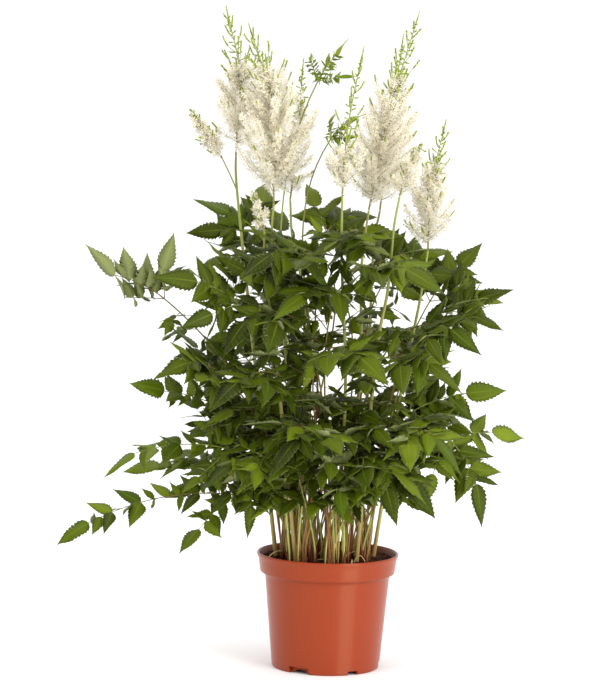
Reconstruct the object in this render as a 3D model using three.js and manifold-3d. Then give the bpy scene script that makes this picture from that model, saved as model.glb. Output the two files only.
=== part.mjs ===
// A white astilbe in its nursery pot: pot, potting soil, flower stems, plumes and compound leaves.
// Millimetres and +Z up. The origin is the centre of the pot's flat underside, and -Y is the front.
import * as THREE from "three";
import { mergeVertices } from "three/addons/utils/BufferGeometryUtils.js";
import Module from "manifold-3d";

const wasm = await Module();
wasm.setup();

// ---------- Driving dimensions ----------

const GAP = 0.3; // between two pieces that touch
const POT = {
  sides: 24,
  height: 138,
  lipRadius: 85,
  collarRadius: 82.8,
  collarFoot: 115,
  bodyTopRadius: 75,
  baseRadius: 64.8,
  wall: 2,
  floor: 4,
};
const NOTCHES = { count: 6, firstAngle: -120, depth: 7, wide: [28, 8], narrow: [15, 5] };
const SOIL = { radius: 79.6, edgeHeight: 131, crownHeight: 134.5, rootDepth: 16, holeRise: 5 };

// Half thicknesses of the square stems.
const STALK = { footHalf: 1.9, topHalf: 1.3, rings: 6 };
const SIDE_BRANCH = { half: 0.9 };
const PETIOLE = { footHalf: 1.25, forkHalf: 1.05, shares: [0, 0.33, 0.66] };
const MIDDLE_BRANCH = { startHalf: 1.05, endHalf: 0.65 };
const LEAF_SIDE_BRANCH = {
  startHalf: 0.85,
  endHalf: 0.6,
  share: 0.5,
  longest: 72,
  angle: 56,
  droop: 0.04,
};
const MIDDLE_HALVES = [MIDDLE_BRANCH.startHalf, MIDDLE_BRANCH.endHalf];
const SIDE_HALVES = [LEAF_SIDE_BRANCH.startHalf, LEAF_SIDE_BRANCH.endHalf];
const SOCKET_REACH = 1.3; // from the middle of a socket to the rings on each side of it

const PLUME = {
  coreFootRadius: 1.9,
  coreTopRadius: 1.2,
  goldenAngle: 137.5,
  plantTurn: 30,
  firstBranch: 0.04,
  lastBranch: 0.96,
  lowElevation: 42,
  highElevation: 68,
  lengths: [0.88, 1.08],
  topBranchRadius: 0.62,
};
const FLORETS = { step: 11, fewestTiers: 3, taper: 0.6, tierOffset: 0.4 };

// A leaf's stalk: where it stands in the soil, how it leans out, and how its curve leaves each end.
const LEAF_STALK = {
  radii: [12, 56],
  angleSpread: 0.6,
  turnPerShift: 0.02,
  lean: 0.16,
  footReach: 0.42,
  forkReach: 0.3,
};
const LEAF_LIFT = 0.3; // how much a middle branch starts above the straight line to its tip
const LEAF_END_SHARE = 0.95; // how much of a leaflet's length lies beyond the end of a middle branch
const LEAFLET = {
  halfWidth: 0.27,
  thickness: 1.6,
  ribShare: 0.46,
  stalkHalf: 0.6,
  fold: 0.16,
  droop: 0.16,
  angle: 54,
  pitch: 3,
  endScale: 1.12,
  pairScale: 0.94,
  sideScale: 0.9,
};
// How leaflets vary: length as a share, the rest in degrees.
const LEAFLET_RANGES = { length: [0.88, 1.1], angle: [-8, 8], pitch: [-16, 20], twist: [-22, 22] };
// Half of a leaflet's outline between its foot and its tip: share of its length, share of its half
// width.
const LEAFLET_EDGE = [
  [0.28, 1],
  [0.6, 0.74],
];

// Every draw comes from one of these seeds, so the plant is the same each time.
const PLUME_SEED = 200;
const LEAF_SEED = 700;

// How far a test body stands proud of the piece that it tries.
const STEM_PAD = 0.35;
const LEAFLET_PAD = 0.4;
const FLORET_PAD = 0.5;
// A test leaflet against the rest of its own leaf is thin-skinned and leaves out the foot of the blade.
const OWN_LEAF_TEST = { from: 0.07, pad: 0.05 };

// What is tried, in this order, until a piece stands clear of those placed before it.
const DEPTH_SHIFTS = [0, 5, -5, 10, -10, 15, -15, 21, -21, 28, -28, 36, -36];
// Turn of a plume branch in degrees, and its size.
const BRANCH_TRIES = [
  [0, 1],
  [20, 1],
  [-20, 1],
  [0, 0.75],
  [38, 0.9],
  [-38, 0.9],
  [0, 0.5],
  [50, 0.6],
  [-50, 0.6],
];
const LEAFLET_SIZES = [1, 0.78];
// Turn about the leaflet's own length and extra pitch, in degrees.
const LEAFLET_TURNS = [
  [0, 0],
  [22, 8],
  [-22, 8],
  [0, -24],
  [0, 30],
  [44, 0],
  [-44, 0],
  [32, 40],
  [-32, 40],
  [62, -20],
  [-62, -20],
];

// Flower stems: name and the points that each runs through, from the soil up to its plume.
const STALKS = [
  ["stem_1", [[-62, 0, 132], [-98, 15, 409], [-110, 25, 503], [-119, 30, 580], [-120, 32, 614]]],
  ["stem_2", [[-18, -30, 133], [-54, -25, 375], [-62, -22, 444], [-74, -20, 512], [-73, -20, 556]]],
  ["stem_3", [[-14, 24, 133], [-28, 36, 300], [-36, 45, 443], [-50, 55, 508], [-54, 60, 556]]],
  ["stem_4", [[6, -36, 133], [16, -50, 327], [8, -60, 495], [7, -62, 569]]],
  ["stem_5", [[27, 0, 133], [34, 5, 352], [33, 8, 454], [34, 10, 498], [40, 12, 548]]],
  ["stem_6", [[40, 34, 132], [45, 60, 346], [48, 75, 495], [55, 80, 545]]],
  ["stem_7", [[34, -33, 132], [51, -45, 375], [63, -50, 458], [68, -55, 529], [74, -55, 568]]],
  ["stem_8", [[55, 8, 132], [82, 5, 323], [103, 0, 443], [111, 0, 503]]],
  ["stem_9", [[-38, -38, 132], [-66, -50, 373], [-80, -60, 467], [-83, -65, 524]]],
];
// Side branches: how far up its stem each one leaves, and the points that it runs through.
const SIDE_BRANCHES = {
  stem_1: { share: 0.7, points: [[-118, 29, 566], [-128, 25, 590], [-136, 20, 606]] },
};

// Plumes: name, points from base to tip, longest branch, branch radius and number of branches.
const PLUMES = [
  ["plume_1", [[-120, 32, 614.5], [-117, 35, 705], [-134, 38, 781]], 58, 7.4, 18],
  ["plume_2", [[-73, -20, 556.5], [-76, -20, 668], [-105, -20, 760]], 76, 9, 24],
  ["plume_3", [[-54, 60, 556.5], [-46, 66, 640], [-42, 70, 720]], 34, 5.8, 13],
  ["plume_4", [[7, -62, 569.5], [12, -65, 650], [27, -68, 735]], 42, 5.2, 14],
  ["plume_5", [[40, 12, 548.5], [60, 14, 660], [93, 18, 778]], 72, 8.4, 22],
  ["plume_6", [[55, 80, 545.5], [66, 85, 650], [78, 90, 752]], 58, 7.4, 16],
  ["plume_7", [[74, -55, 568.5], [84, -58, 604], [99, -60, 632]], 26, 5.4, 8],
  ["plume_8", [[111, 0, 503.5], [113, -4, 580], [127, -10, 652]], 48, 7, 16],
  ["plume_9", [[-83, -65, 524.5], [-90, -68, 550], [-98, -70, 572]], 17, 4.8, 6],
  ["plume_10", [[-136.25, 19.85, 606.5], [-156, 12, 636], [-175, 5, 664]], 26, 5.6, 9],
];

// Compound leaves: name, fork, tip, leaflet length, leaflet pairs on the middle branch and on each
// side branch, and how far the leaf's upper face turns to the front, in degrees.
const LEAVES = [
  ["leaf_top_shoot", [-24, -12, 700], [8, -15, 748], 22, 1, 0, 30],
  ["leaf_low_shoot", [-8, -30, 632], [24, -40, 668], 21, 1, 0, 30],
  ["leaf_left_reach", [-200, -22, 440], [-296, -46, 486], 46, 2, 1, -30],
  ["leaf_low_left_reach", [-118, -20, 208], [-320, -60, 168], 40, 4, 1, 38],
  ["leaf_right_reach", [140, -10, 432], [203, -20, 462], 40, 1, 1, 35],
  ["leaf_low_right_reach", [136, -20, 286], [196, -60, 196], 46, 2, 1, 45],
  ["leaf_mid_right", [95, 10, 305], [201, 10, 345], 44, 2, 1, 40],
  ["leaf_mid_left", [-112, -20, 300], [-229, -60, 345], 38, 3, 1, 35],
  ["leaf_low_left_2", [-110, 40, 235], [-244, 70, 228], 42, 2, 1, 35],
  ["leaf_low_left_3", [-118, -56, 266], [-264, -96, 262], 38, 3, 1, 35],
  ["leaf_high_left_1", [-112, -60, 440], [-193, -105, 485], 46, 2, 1, 40],
  ["leaf_high_left_2", [-96, 40, 520], [-160, 70, 560], 46, 2, 1, 40],
  ["leaf_high_left_3", [-80, 70, 490], [-150, 120, 520], 48, 2, 1, 35],
  ["leaf_high_right_1", [-10, 60, 520], [55, 105, 560], 50, 2, 1, 35],
  ["leaf_high_right_2", [70, 50, 470], [140, 90, 515], 46, 2, 1, 35],
  ["leaf_high_right_3", [116, 20, 440], [176, 45, 512], 44, 2, 1, 35],
  ["leaf_high_right_4", [105, -70, 420], [170, -120, 415], 46, 2, 1, 35],
  ["leaf_high_front_1", [-35, -62, 504], [-112, -114, 496], 50, 2, 1, 22],
  ["leaf_high_front_2", [45, -70, 490], [122, -120, 482], 50, 2, 1, 18],
  ["leaf_high_front_3", [14, -42, 520], [62, -110, 500], 50, 2, 1, 12],
  ["leaf_high_front_4", [-72, -26, 482], [-146, -82, 466], 48, 2, 1, 20],
  ["leaf_mid_front_1", [-62, -70, 430], [-140, -120, 416], 50, 2, 1, 18],
  ["leaf_mid_front_2", [75, -75, 385], [150, -125, 370], 50, 2, 1, 18],
  ["leaf_mid_front_3", [2, -80, 394], [63, -144, 376], 50, 2, 1, 15],
  ["leaf_mid_left_2", [-135, -30, 360], [-200, -70, 385], 44, 2, 1, 25],
  ["leaf_mid_left_3", [-100, 60, 360], [-166, 120, 390], 48, 2, 1, 35],
  ["leaf_mid_left_4", [-85, 70, 285], [-155, 130, 290], 46, 2, 1, 35],
  ["leaf_mid_right_2", [105, 60, 315], [180, 105, 300], 44, 2, 1, 35],
  ["leaf_low_right_2", [85, -70, 300], [160, -118, 280], 48, 2, 1, 25],
  ["leaf_low_front_1", [-14, -85, 298], [-70, -150, 280], 50, 2, 1, 12],
  ["leaf_low_front_2", [38, -90, 265], [108, -144, 244], 50, 2, 1, 18],
  ["leaf_low_front_3", [-78, -72, 262], [-150, -116, 248], 44, 1, 1, 22],
  ["leaf_back_1", [-45, 80, 440], [-75, 165, 400], 48, 2, 1, 0],
  ["leaf_back_2", [60, 85, 400], [95, 166, 372], 48, 2, 1, 0],
  ["leaf_back_3", [10, 85, 310], [20, 176, 280], 48, 2, 1, 0],
  ["leaf_mid_front_4", [-10, -60, 462], [-62, -130, 444], 48, 2, 1, 14],
  ["leaf_mid_front_5", [-76, -70, 362], [-142, -124, 344], 48, 2, 1, 20],
  ["leaf_low_front_4", [-90, -62, 222], [-94, -112, 188], 32, 2, 1, 15],
  ["leaf_low_right_3", [66, -80, 246], [122, -126, 228], 46, 2, 1, 25],
];
// How far the leaflets of some leaves point up out of the leaf's plane, in degrees.
const LEAFLET_RISES = { leaf_left_reach: 55, leaf_mid_left: 12 };

const COLOURS = {
  pot: { color: 0xc4653f, roughness: 0.38 },
  soil: { color: 0x3a2018, roughness: 1 },
  stem: { color: 0xa9b35a, roughness: 0.6 },
  plume: { color: 0xf4ecd8, roughness: 0.9 },
  leaf: { color: 0x3f5f1e, roughness: 0.5 },
};

// ---------- Small helpers ----------

const radians = THREE.MathUtils.degToRad;
const lerp = THREE.MathUtils.lerp;
const vector = ([x, y, z]) => new THREE.Vector3(x, y, z);
const moved = (point, direction, distance) => point.clone().addScaledVector(direction, distance);
const between = (a, b, angle) =>
  a.clone().multiplyScalar(Math.cos(angle)).addScaledVector(b, Math.sin(angle));
const within = ([low, high], share) => lerp(low, high, share);

const middleOf = (points) =>
  points.reduce((sum, point) => sum.add(point), new THREE.Vector3()).divideScalar(points.length);

// The part of a direction that is square to an axis, at unit length.
function squareTo(axis, direction) {
  return direction.clone().addScaledVector(axis, -direction.dot(axis)).normalize();
}

function seededRandom(seed) {
  let state = seed;
  const next = () => {
    state = (state * 1664525 + 1013904223) % 4294967296;
    return state / 4294967296;
  };
  next();
  return next;
}

// A three.js geometry as a manifold-3d solid.
function solidOf(geometry) {
  const bare = geometry.clone();
  bare.deleteAttribute("normal");
  bare.deleteAttribute("uv");
  const merged = mergeVertices(bare, 1e-4);
  const corners = merged.index.array;
  const triVerts = [];
  for (let i = 0; i < corners.length; i += 3) {
    const [a, b, c] = corners.slice(i, i + 3);
    if (a !== b && b !== c && c !== a) triVerts.push(a, b, c);
  }
  const vertProperties = merged.attributes.position.array;
  return new wasm.Manifold(
    new wasm.Mesh({ numProp: 3, vertProperties, triVerts: new Uint32Array(triVerts) }),
  );
}

function geometryOf(solid) {
  const { numProp, vertProperties, triVerts } = solid.getMesh();
  const count = vertProperties.length / numProp;
  const positions = new Float32Array(count * 3);
  for (let i = 0; i < count; i++) {
    positions.set(vertProperties.subarray(i * numProp, i * numProp + 3), i * 3);
  }
  const geometry = new THREE.BufferGeometry();
  geometry.setAttribute("position", new THREE.BufferAttribute(positions, 3));
  geometry.setIndex(new THREE.BufferAttribute(triVerts, 1));
  return geometry;
}

// ---------- Surfaces that grow ring by ring ----------

// A closed surface under construction. A ring or socket is a list of point numbers that runs
// clockwise as seen along the direction of growth. Four-cornered ones start at the upper left.
class Shell {
  points = [];
  triangles = [];

  add(points) {
    const first = this.points.length;
    this.points.push(...points);
    return points.map((_, i) => first + i);
  }

  // Joins a ring to the next. Sides listed as open stay free, for something to grow from.
  bridge(from, to, open = []) {
    from.forEach((corner, side) => {
      const beside = (side + 1) % from.length;
      if (open.includes(side)) return;
      this.triangles.push(corner, from[beside], to[side], from[beside], to[beside], to[side]);
    });
  }

  // Closes a ring or socket with a flat face that looks along the direction of growth.
  close(ring) {
    for (let i = 1; i + 1 < ring.length; i++) this.triangles.push(ring[0], ring[i], ring[i + 1]);
  }

  geometry() {
    const geometry = new THREE.BufferGeometry().setFromPoints(this.points);
    geometry.setIndex(this.triangles);
    return geometry;
  }
}

const LEFT_SIDE = 3;
const RIGHT_SIDE = 1;
const leftSocket = (near, far) => [near[0], far[0], far[3], near[3]];
const rightSocket = (near, far) => [far[1], near[1], near[2], far[2]];

// Four corners square to a direction, round a centre, with `across` towards their left.
function squareRing(centre, forward, across, half) {
  const left = squareTo(forward, across);
  const up = forward.clone().cross(left);
  const corner = (l, u) => moved(moved(centre, left, l * half), up, u * half);
  return [corner(1, 1), corner(-1, 1), corner(-1, -1), corner(1, -1)];
}

const ringOn = (curve, share, across, half) =>
  squareRing(curve.getPoint(share), curve.getTangent(share), across, half);

// A closed tube through rings given as lists of points.
function tubeThrough(rings) {
  const shell = new Shell();
  const numbers = rings.map((ring) => shell.add(ring));
  shell.close(numbers[0].toReversed());
  numbers.slice(1).forEach((ring, i) => shell.bridge(numbers[i], ring));
  shell.close(numbers.at(-1));
  return shell.geometry();
}

// A ring on the straight line that carries a curve on into the soil.
function rootRing(curve, across, half, depth) {
  const forward = curve.getTangent(0);
  return squareRing(moved(curve.getPoint(0), forward, -depth), forward, across, half);
}

// The hole that a stem stands in, with the gap all round and one end above the soil.
function holeSolid(curve, across, half) {
  const ends = [SOIL.rootDepth + GAP, -SOIL.holeRise];
  return solidOf(tubeThrough(ends.map((depth) => rootRing(curve, across, half + GAP, depth))));
}

// ---------- Keeping pieces clear of each other ----------

const placed = [];

function boxed(geometry) {
  geometry.computeBoundingBox();
  return { solid: solidOf(geometry), box: geometry.boundingBox };
}

function place(node, kind, geometry) {
  placed.push({ node, kind, ...boxed(geometry) });
}

// Whether a padded test body meets none of the placed pieces that `counts` picks.
function isClear(geometry, counts) {
  const test = boxed(geometry);
  return placed.every(
    (other) =>
      !counts(other) ||
      !other.box.intersectsBox(test.box) ||
      other.solid.intersect(test.solid).isEmpty(),
  );
}

// ---------- Pot and soil ----------

// Turns a profile of [radius, height] pairs round the upright axis.
function turned(profile, sides) {
  const points = profile.map(([radius, z]) => new THREE.Vector2(radius, z));
  return new THREE.LatheGeometry(points, sides).rotateX(Math.PI / 2);
}

function potGeometry() {
  const { wall, floor, height } = POT;
  return turned([
    // Underside and body
    [0, 0],
    [POT.baseRadius - 1, 0],
    [POT.baseRadius, 1],
    [POT.bodyTopRadius, POT.collarFoot - wall],
    // Collar band
    [POT.collarRadius - wall, POT.collarFoot + 1],
    [POT.collarRadius, height - 6],
    // Lip
    [POT.lipRadius - 0.4, height - 4.6],
    [POT.lipRadius, height - 0.6],
    [POT.lipRadius - 0.6, height],
    [POT.lipRadius - 2.4, height],
    // Inside, from the rim down to the floor
    [POT.collarRadius - wall - 0.2, height - 8],
    [POT.collarRadius - 2 * wall, POT.collarFoot + 2],
    [POT.bodyTopRadius - wall, POT.collarFoot - 4],
    [POT.baseRadius - wall, floor],
    [0, floor],
  ], POT.sides);
}

function notchGeometry(index) {
  const [width, height] = index % 2 === 0 ? NOTCHES.wide : NOTCHES.narrow;
  const notch = new THREE.BoxGeometry(2 * NOTCHES.depth, width, 2 * height);
  notch.translate(POT.baseRadius, 0, 0);
  return notch.rotateZ(radians(NOTCHES.firstAngle + (360 / NOTCHES.count) * index));
}

function potSolid() {
  let pot = solidOf(potGeometry());
  for (let index = 0; index < NOTCHES.count; index++) {
    pot = pot.subtract(solidOf(notchGeometry(index)));
  }
  return pot;
}

const soilHeight = (radius) => lerp(SOIL.crownHeight, SOIL.edgeHeight, radius / SOIL.radius);

function soilGeometry() {
  const inset = GAP + 0.1;
  return turned([
    [0, POT.floor + inset],
    [POT.baseRadius - POT.wall - inset, POT.floor + inset],
    [POT.bodyTopRadius - POT.wall - inset, POT.collarFoot - 4],
    [POT.collarRadius - 4 - inset, POT.collarFoot + 3],
    [SOIL.radius, SOIL.edgeHeight],
    [0, SOIL.crownHeight],
  ], POT.sides);
}

// ---------- Flower stems ----------

const TO_THE_LEFT = new THREE.Vector3(-1, 0, 0);
const DOWNWARDS = new THREE.Vector3(0, 0, -1);
const curveThrough = (points) => new THREE.CatmullRomCurve3(points.map(vector), false, "catmullrom");

// The rings of a stem from its root up, at even steps and on each side of a side branch.
function stalkRings([name, points]) {
  const curve = curveThrough(points);
  const shares = Array.from({ length: STALK.rings }, (_, r) => r / (STALK.rings - 1));
  const branch = SIDE_BRANCHES[name];
  if (branch) {
    const reach = SOCKET_REACH / curve.getLength();
    shares.push(branch.share - reach, branch.share + reach);
    shares.sort((a, b) => a - b);
  }
  const half = (share) => lerp(STALK.footHalf, STALK.topHalf, share);
  const root = rootRing(curve, TO_THE_LEFT, half(0), SOIL.rootDepth);
  const rings = [root, ...shares.map((share) => ringOn(curve, share, TO_THE_LEFT, half(share)))];
  const socketRing = branch ? 1 + shares.findIndex((share) => share > branch.share) : -1;
  return { rings, socketRing };
}

function stalkGeometry(stalk) {
  const [name] = stalk;
  const { rings, socketRing } = stalkRings(stalk);
  place(name, "stem", tubeThrough(rings));
  const shell = new Shell();
  const numbers = rings.map((ring) => shell.add(ring));
  shell.close(numbers[0].toReversed());
  for (let r = 1; r < numbers.length; r++) {
    shell.bridge(numbers[r - 1], numbers[r], r === socketRing ? [LEFT_SIDE] : []);
  }
  shell.close(numbers.at(-1));
  if (socketRing > 0) {
    growSideBranch(shell, leftSocket(numbers[socketRing - 1], numbers[socketRing]), name);
  }
  return shell.geometry();
}

// Grows a stem's short side branch from a socket in its left side.
function growSideBranch(shell, socket, name) {
  const curve = curveThrough(SIDE_BRANCHES[name].points);
  const rings = [0.5, 1].map((share) => ringOn(curve, share, DOWNWARDS, SIDE_BRANCH.half));
  place(name, "stem", tubeThrough(rings));
  const end = rings.reduce((last, ring) => {
    const next = shell.add(ring);
    shell.bridge(last, next);
    return next;
  }, socket);
  shell.close(end);
}

// ---------- Plumes ----------

// How long a branch is at a height share of its plume: full near the base, short at the tip.
const branchReach = (share) => Math.min(1, 0.62 + 2.2 * share) * (1 - share) ** 0.85 + 0.1;

// Grows a branch from a three-cornered socket: tiers of three florets, each set over the gaps of
// the tier below it, up to one floret at the tip. `opening` keeps it narrow beside the plume's stalk.
function growFlorets(shell, socket, { start, direction, length, radius, opening }) {
  const tiers = Math.max(FLORETS.fewestTiers, Math.round(length / FLORETS.step));
  let ring = socket;
  let centre = start;
  for (let tier = 1; tier <= tiers; tier++) {
    const share = (tier - FLORETS.tierOffset) / (tiers + FLORETS.tierOffset);
    const reach = Math.min(radius * (1 - FLORETS.taper * share), opening * length * share);
    const next = moved(start, direction, length * share);
    const florets = ring.map((corner, side) => {
      const beside = ring[(side + 1) % ring.length];
      const middle = shell.points[corner].clone().lerp(shell.points[beside], 0.5).sub(centre);
      return moved(next, squareTo(direction, middle), reach);
    });
    const numbers = shell.add(florets);
    shell.bridge(ring, numbers);
    ring = numbers;
    centre = next;
  }
  const [tip] = shell.add([moved(start, direction, length)]);
  ring.forEach((corner, side) => shell.triangles.push(corner, ring[(side + 1) % ring.length], tip));
}

// A closed body of one branch on its own, from the three points that it grows from.
function loneBranch(corners, branch) {
  const shell = new Shell();
  const socket = shell.add(corners);
  shell.close(socket.toReversed());
  growFlorets(shell, socket, branch);
  return shell.geometry();
}

const padded = (branch) => ({
  ...branch,
  length: branch.length + FLORET_PAD,
  radius: branch.radius + FLORET_PAD,
});

function triangleRing(centre, forward, azimuth, radius) {
  const across = squareTo(forward, new THREE.Vector3(Math.cos(azimuth), Math.sin(azimuth), 0));
  const up = forward.clone().cross(across);
  return [-1, 1, 3].map((thirds) => {
    const angle = (thirds * Math.PI) / 3;
    return moved(moved(centre, across, radius * Math.cos(angle)), up, radius * Math.sin(angle));
  });
}

// The plume's middle stalk has one ring below and one above each branch, turned so that the next
// side of the stalk faces the way its branch grows.
function plumeGeometry([name, points, reach, radius, branches], index) {
  const curve = curveThrough(points);
  const random = seededRandom(PLUME_SEED + index);
  const step = (PLUME.lastBranch - PLUME.firstBranch) / branches;
  const others = (other) => other.node !== name;
  const shell = new Shell();
  const rings = [];
  for (let r = 0; r <= branches + 1; r++) {
    const share = r === 0 ? 0 : Math.min(1, PLUME.firstBranch + step * (r - 1));
    const half = lerp(PLUME.coreFootRadius, PLUME.coreTopRadius, share);
    const azimuth = radians((PLUME.goldenAngle - 120) * (r - 1) + PLUME.plantTurn * index);
    rings.push(shell.add(triangleRing(curve.getPoint(share), curve.getTangent(share), azimuth, half)));
  }
  shell.close(rings[0].toReversed());
  shell.bridge(rings[0], rings[1]);
  for (let branch = 0; branch < branches; branch++) {
    const share = PLUME.firstBranch + step * (branch + 0.5);
    const [near, far] = [rings[branch + 1], rings[branch + 2]];
    const side = branch % 3;
    const beside = (side + 1) % 3;
    const socket = [near[side], near[beside], far[side]];
    const corners = socket.map((number) => shell.points[number]);
    const start = middleOf(corners);
    const forward = curve.getTangent(share);
    const outward = squareTo(forward, middleOf(corners.slice(0, 2)).sub(curve.getPoint(share)));
    const elevation = radians(lerp(PLUME.lowElevation, PLUME.highElevation, share));
    const size = within(PLUME.lengths, random());
    const florets = BRANCH_TRIES.map(([turn, scale]) => ({
      start,
      direction: between(outward.clone().applyAxisAngle(forward, radians(turn)), forward, elevation),
      length: reach * branchReach(share) * size * scale,
      radius: radius * lerp(1, PLUME.topBranchRadius, share),
      opening: 1 / Math.tan(elevation),
    })).find((tried) => isClear(loneBranch(corners, padded(tried)), others));
    shell.bridge(near, far, [side]);
    shell.triangles.push(near[beside], far[beside], far[side]);
    if (florets) {
      growFlorets(shell, socket, florets);
      place(name, "branch", loneBranch(corners, florets));
    } else {
      shell.close(socket);
    }
  }
  shell.close(rings.at(-1));
  return shell.geometry();
}

// ---------- Leaves ----------

// A point on a leaflet's curved middle surface, by its share of length and of half width.
function leafletPoint({ base, along, normal, length }, share, across, lift = 0) {
  const halfWidth = LEAFLET.halfWidth * length;
  const side = normal.clone().cross(along);
  const height = LEAFLET.fold * halfWidth * Math.abs(across) - LEAFLET.droop * length * share ** 2;
  const spine = moved(base, along, length * share);
  return moved(moved(spine, side, halfWidth * across), normal, height + lift);
}

// Grows a leaflet from a four-cornered socket: a pointed blade that is thickest at its rib.
function growLeaflet(shell, socket, leaflet, pad = 0) {
  const [upperLeft, upperRight, lowerRight, lowerLeft] = socket;
  const widen = pad / (LEAFLET.halfWidth * leaflet.length);
  const edge = (sign) =>
    shell.add(
      LEAFLET_EDGE.map(([share, across]) => leafletPoint(leaflet, share, sign * (across + widen))),
    );
  const left = edge(1);
  const right = edge(-1);
  const lift = LEAFLET.thickness / 2 + pad;
  const [tip, upperRib, lowerRib] = shell.add([
    leafletPoint(leaflet, 1 + pad / leaflet.length, 0),
    leafletPoint(leaflet, LEAFLET.ribShare, 0, lift),
    leafletPoint(leaflet, LEAFLET.ribShare, 0, -lift),
  ]);
  const rim = [...right, tip, ...left.toReversed()];
  const fan = (outline, rib) =>
    outline.forEach((point, i) => {
      shell.triangles.push(point, outline[(i + 1) % outline.length], rib);
    });
  shell.triangles.push(lowerRight, right[0], upperRight, lowerLeft, upperLeft, left[0]);
  fan([upperRight, ...rim, upperLeft], upperRib);
  fan([lowerLeft, ...rim.toReversed(), lowerRight], lowerRib);
}

// A closed body of one leaflet on its own, from a share of its length on.
function loneLeaflet(leaflet, { from = 0.03, pad = 0 } = {}) {
  const shell = new Shell();
  const half = LEAFLET.stalkHalf + pad;
  const across = half / (LEAFLET.halfWidth * leaflet.length);
  const corners = [[1, 1], [-1, 1], [-1, -1], [1, -1]];
  const socket = shell.add(
    corners.map(([side, up]) => leafletPoint(leaflet, from, side * across, up * half)),
  );
  shell.close(socket.toReversed());
  growLeaflet(shell, socket, leaflet, pad);
  return shell.geometry();
}

// A leaflet's place, from the branch that it grows on, its angles and its length.
function leafletOn({ curve, share, angle, pitch, twist, length }, normal) {
  const forward = curve.getTangent(share);
  const up = squareTo(forward, normal);
  const outward = between(forward, up.clone().cross(forward), angle);
  const along = between(outward, up, -pitch);
  const face = between(up, outward, pitch).applyAxisAngle(along, twist);
  return { base: curve.getPoint(share), along, normal: face, length };
}

// Where leaflet pairs sit along a branch.
const pairShare = (pair, pairs) => (pair + 0.1) / (pairs + 0.9);

// The leaflets of one branch, the end one first, with their seeded variation in a fixed order.
function leafletRows(name, curve, pairs, length, random) {
  const pitch = LEAFLET.pitch - (LEAFLET_RISES[name] ?? 0);
  const rows = [{ share: 1, angle: 0, scale: LEAFLET.endScale }];
  for (let pair = 1; pair <= pairs; pair++) {
    const share = pairShare(pair, pairs);
    rows.push({ share, angle: LEAFLET.angle, scale: LEAFLET.pairScale });
    rows.push({ share, angle: -LEAFLET.angle, scale: LEAFLET.pairScale });
  }
  return rows.map(({ share, angle, scale }) => ({
    curve,
    share,
    length: length * scale * within(LEAFLET_RANGES.length, random()),
    angle: radians(angle + within(LEAFLET_RANGES.angle, random())),
    pitch: radians(pitch + within(LEAFLET_RANGES.pitch, random())),
    twist: radians(within(LEAFLET_RANGES.twist, random())),
  }));
}

// Where a leaf's stalk stands in the soil, and which way it leans there.
function leafFoot(fork, shift, random) {
  const spread = LEAF_STALK.angleSpread * lerp(-1, 1, random());
  const angle = Math.atan2(fork.y, fork.x) + spread + LEAF_STALK.turnPerShift * shift;
  const radius = within(LEAF_STALK.radii, Math.sqrt(random()));
  const outward = vector([Math.cos(angle), Math.sin(angle), 0]);
  const foot = outward.clone().multiplyScalar(radius).setZ(soilHeight(radius));
  return { foot, lean: outward.multiplyScalar(LEAF_STALK.lean).setZ(1).normalize() };
}

// The curves of one leaf, at a shift in depth: its stalk, its middle branch and two side branches.
function leafSkeleton([, forkAt, tipAt, leafletLength, , , tilt], shift, random) {
  const depth = new THREE.Vector3(0, shift, 0);
  const fork = vector(forkAt).add(depth);
  const leafTip = vector(tipAt).add(depth);
  const leafReach = fork.distanceTo(leafTip);
  const chord = leafTip.clone().sub(fork).normalize();
  const tip = moved(leafTip, chord, -LEAF_END_SHARE * leafletLength);
  const reach = fork.distanceTo(tip);
  const start = moved(chord, new THREE.Vector3(0, 0, 1), LEAF_LIFT).normalize();
  const normal = squareTo(start, vector([0, -Math.sin(radians(tilt)), Math.cos(radians(tilt))]));
  const across = normal.clone().cross(start);
  const { foot, lean } = leafFoot(fork, shift, random);
  const rise = foot.distanceTo(fork);
  const stalk = new THREE.CubicBezierCurve3(
    foot,
    moved(foot, lean, LEAF_STALK.footReach * rise),
    moved(fork, start, -LEAF_STALK.forkReach * rise),
    fork,
  );
  const middle = new THREE.QuadraticBezierCurve3(fork, moved(fork, start, reach / 2), tip);
  const sides = [1, -1].map((sign) => {
    const outward = between(start, across, radians(sign * LEAF_SIDE_BRANCH.angle));
    const length = Math.min(leafReach * LEAF_SIDE_BRANCH.share, LEAF_SIDE_BRANCH.longest);
    const end = moved(moved(fork, outward, length), normal, -LEAF_SIDE_BRANCH.droop * length);
    const curve = new THREE.QuadraticBezierCurve3(fork, moved(fork, outward, length / 2), end);
    return { curve, across: normal.clone().cross(outward), halves: SIDE_HALVES };
  });
  return { stalk, middle: { curve: middle, across, halves: MIDDLE_HALVES }, sides, normal };
}

const branchRing = ({ curve, across, halves }, share, pad = 0) =>
  ringOn(curve, share, across, lerp(halves[0], halves[1], share) + pad);

// The rings of a leaf's stalk, from its root in the soil up to below the fork.
function petioleRings({ stalk, middle }, pad = 0) {
  const half = (share) => lerp(PETIOLE.footHalf, PETIOLE.forkHalf, share) + pad;
  return [
    rootRing(stalk, middle.across, half(0), SOIL.rootDepth + pad),
    ...PETIOLE.shares.map((share) => ringOn(stalk, share, middle.across, half(share))),
  ];
}

// The stalk with the middle branch, and each side branch, as closed tubes.
function skeletonTubes(skeleton, pad = 0) {
  const { middle, sides } = skeleton;
  const tubeOf = (branch) => [0, 0.5, 1].map((share) => branchRing(branch, share, pad));
  return [
    tubeThrough([...petioleRings(skeleton, pad), ...tubeOf(middle)]),
    ...sides.map((side) => tubeThrough(tubeOf(side))),
  ];
}

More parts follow.
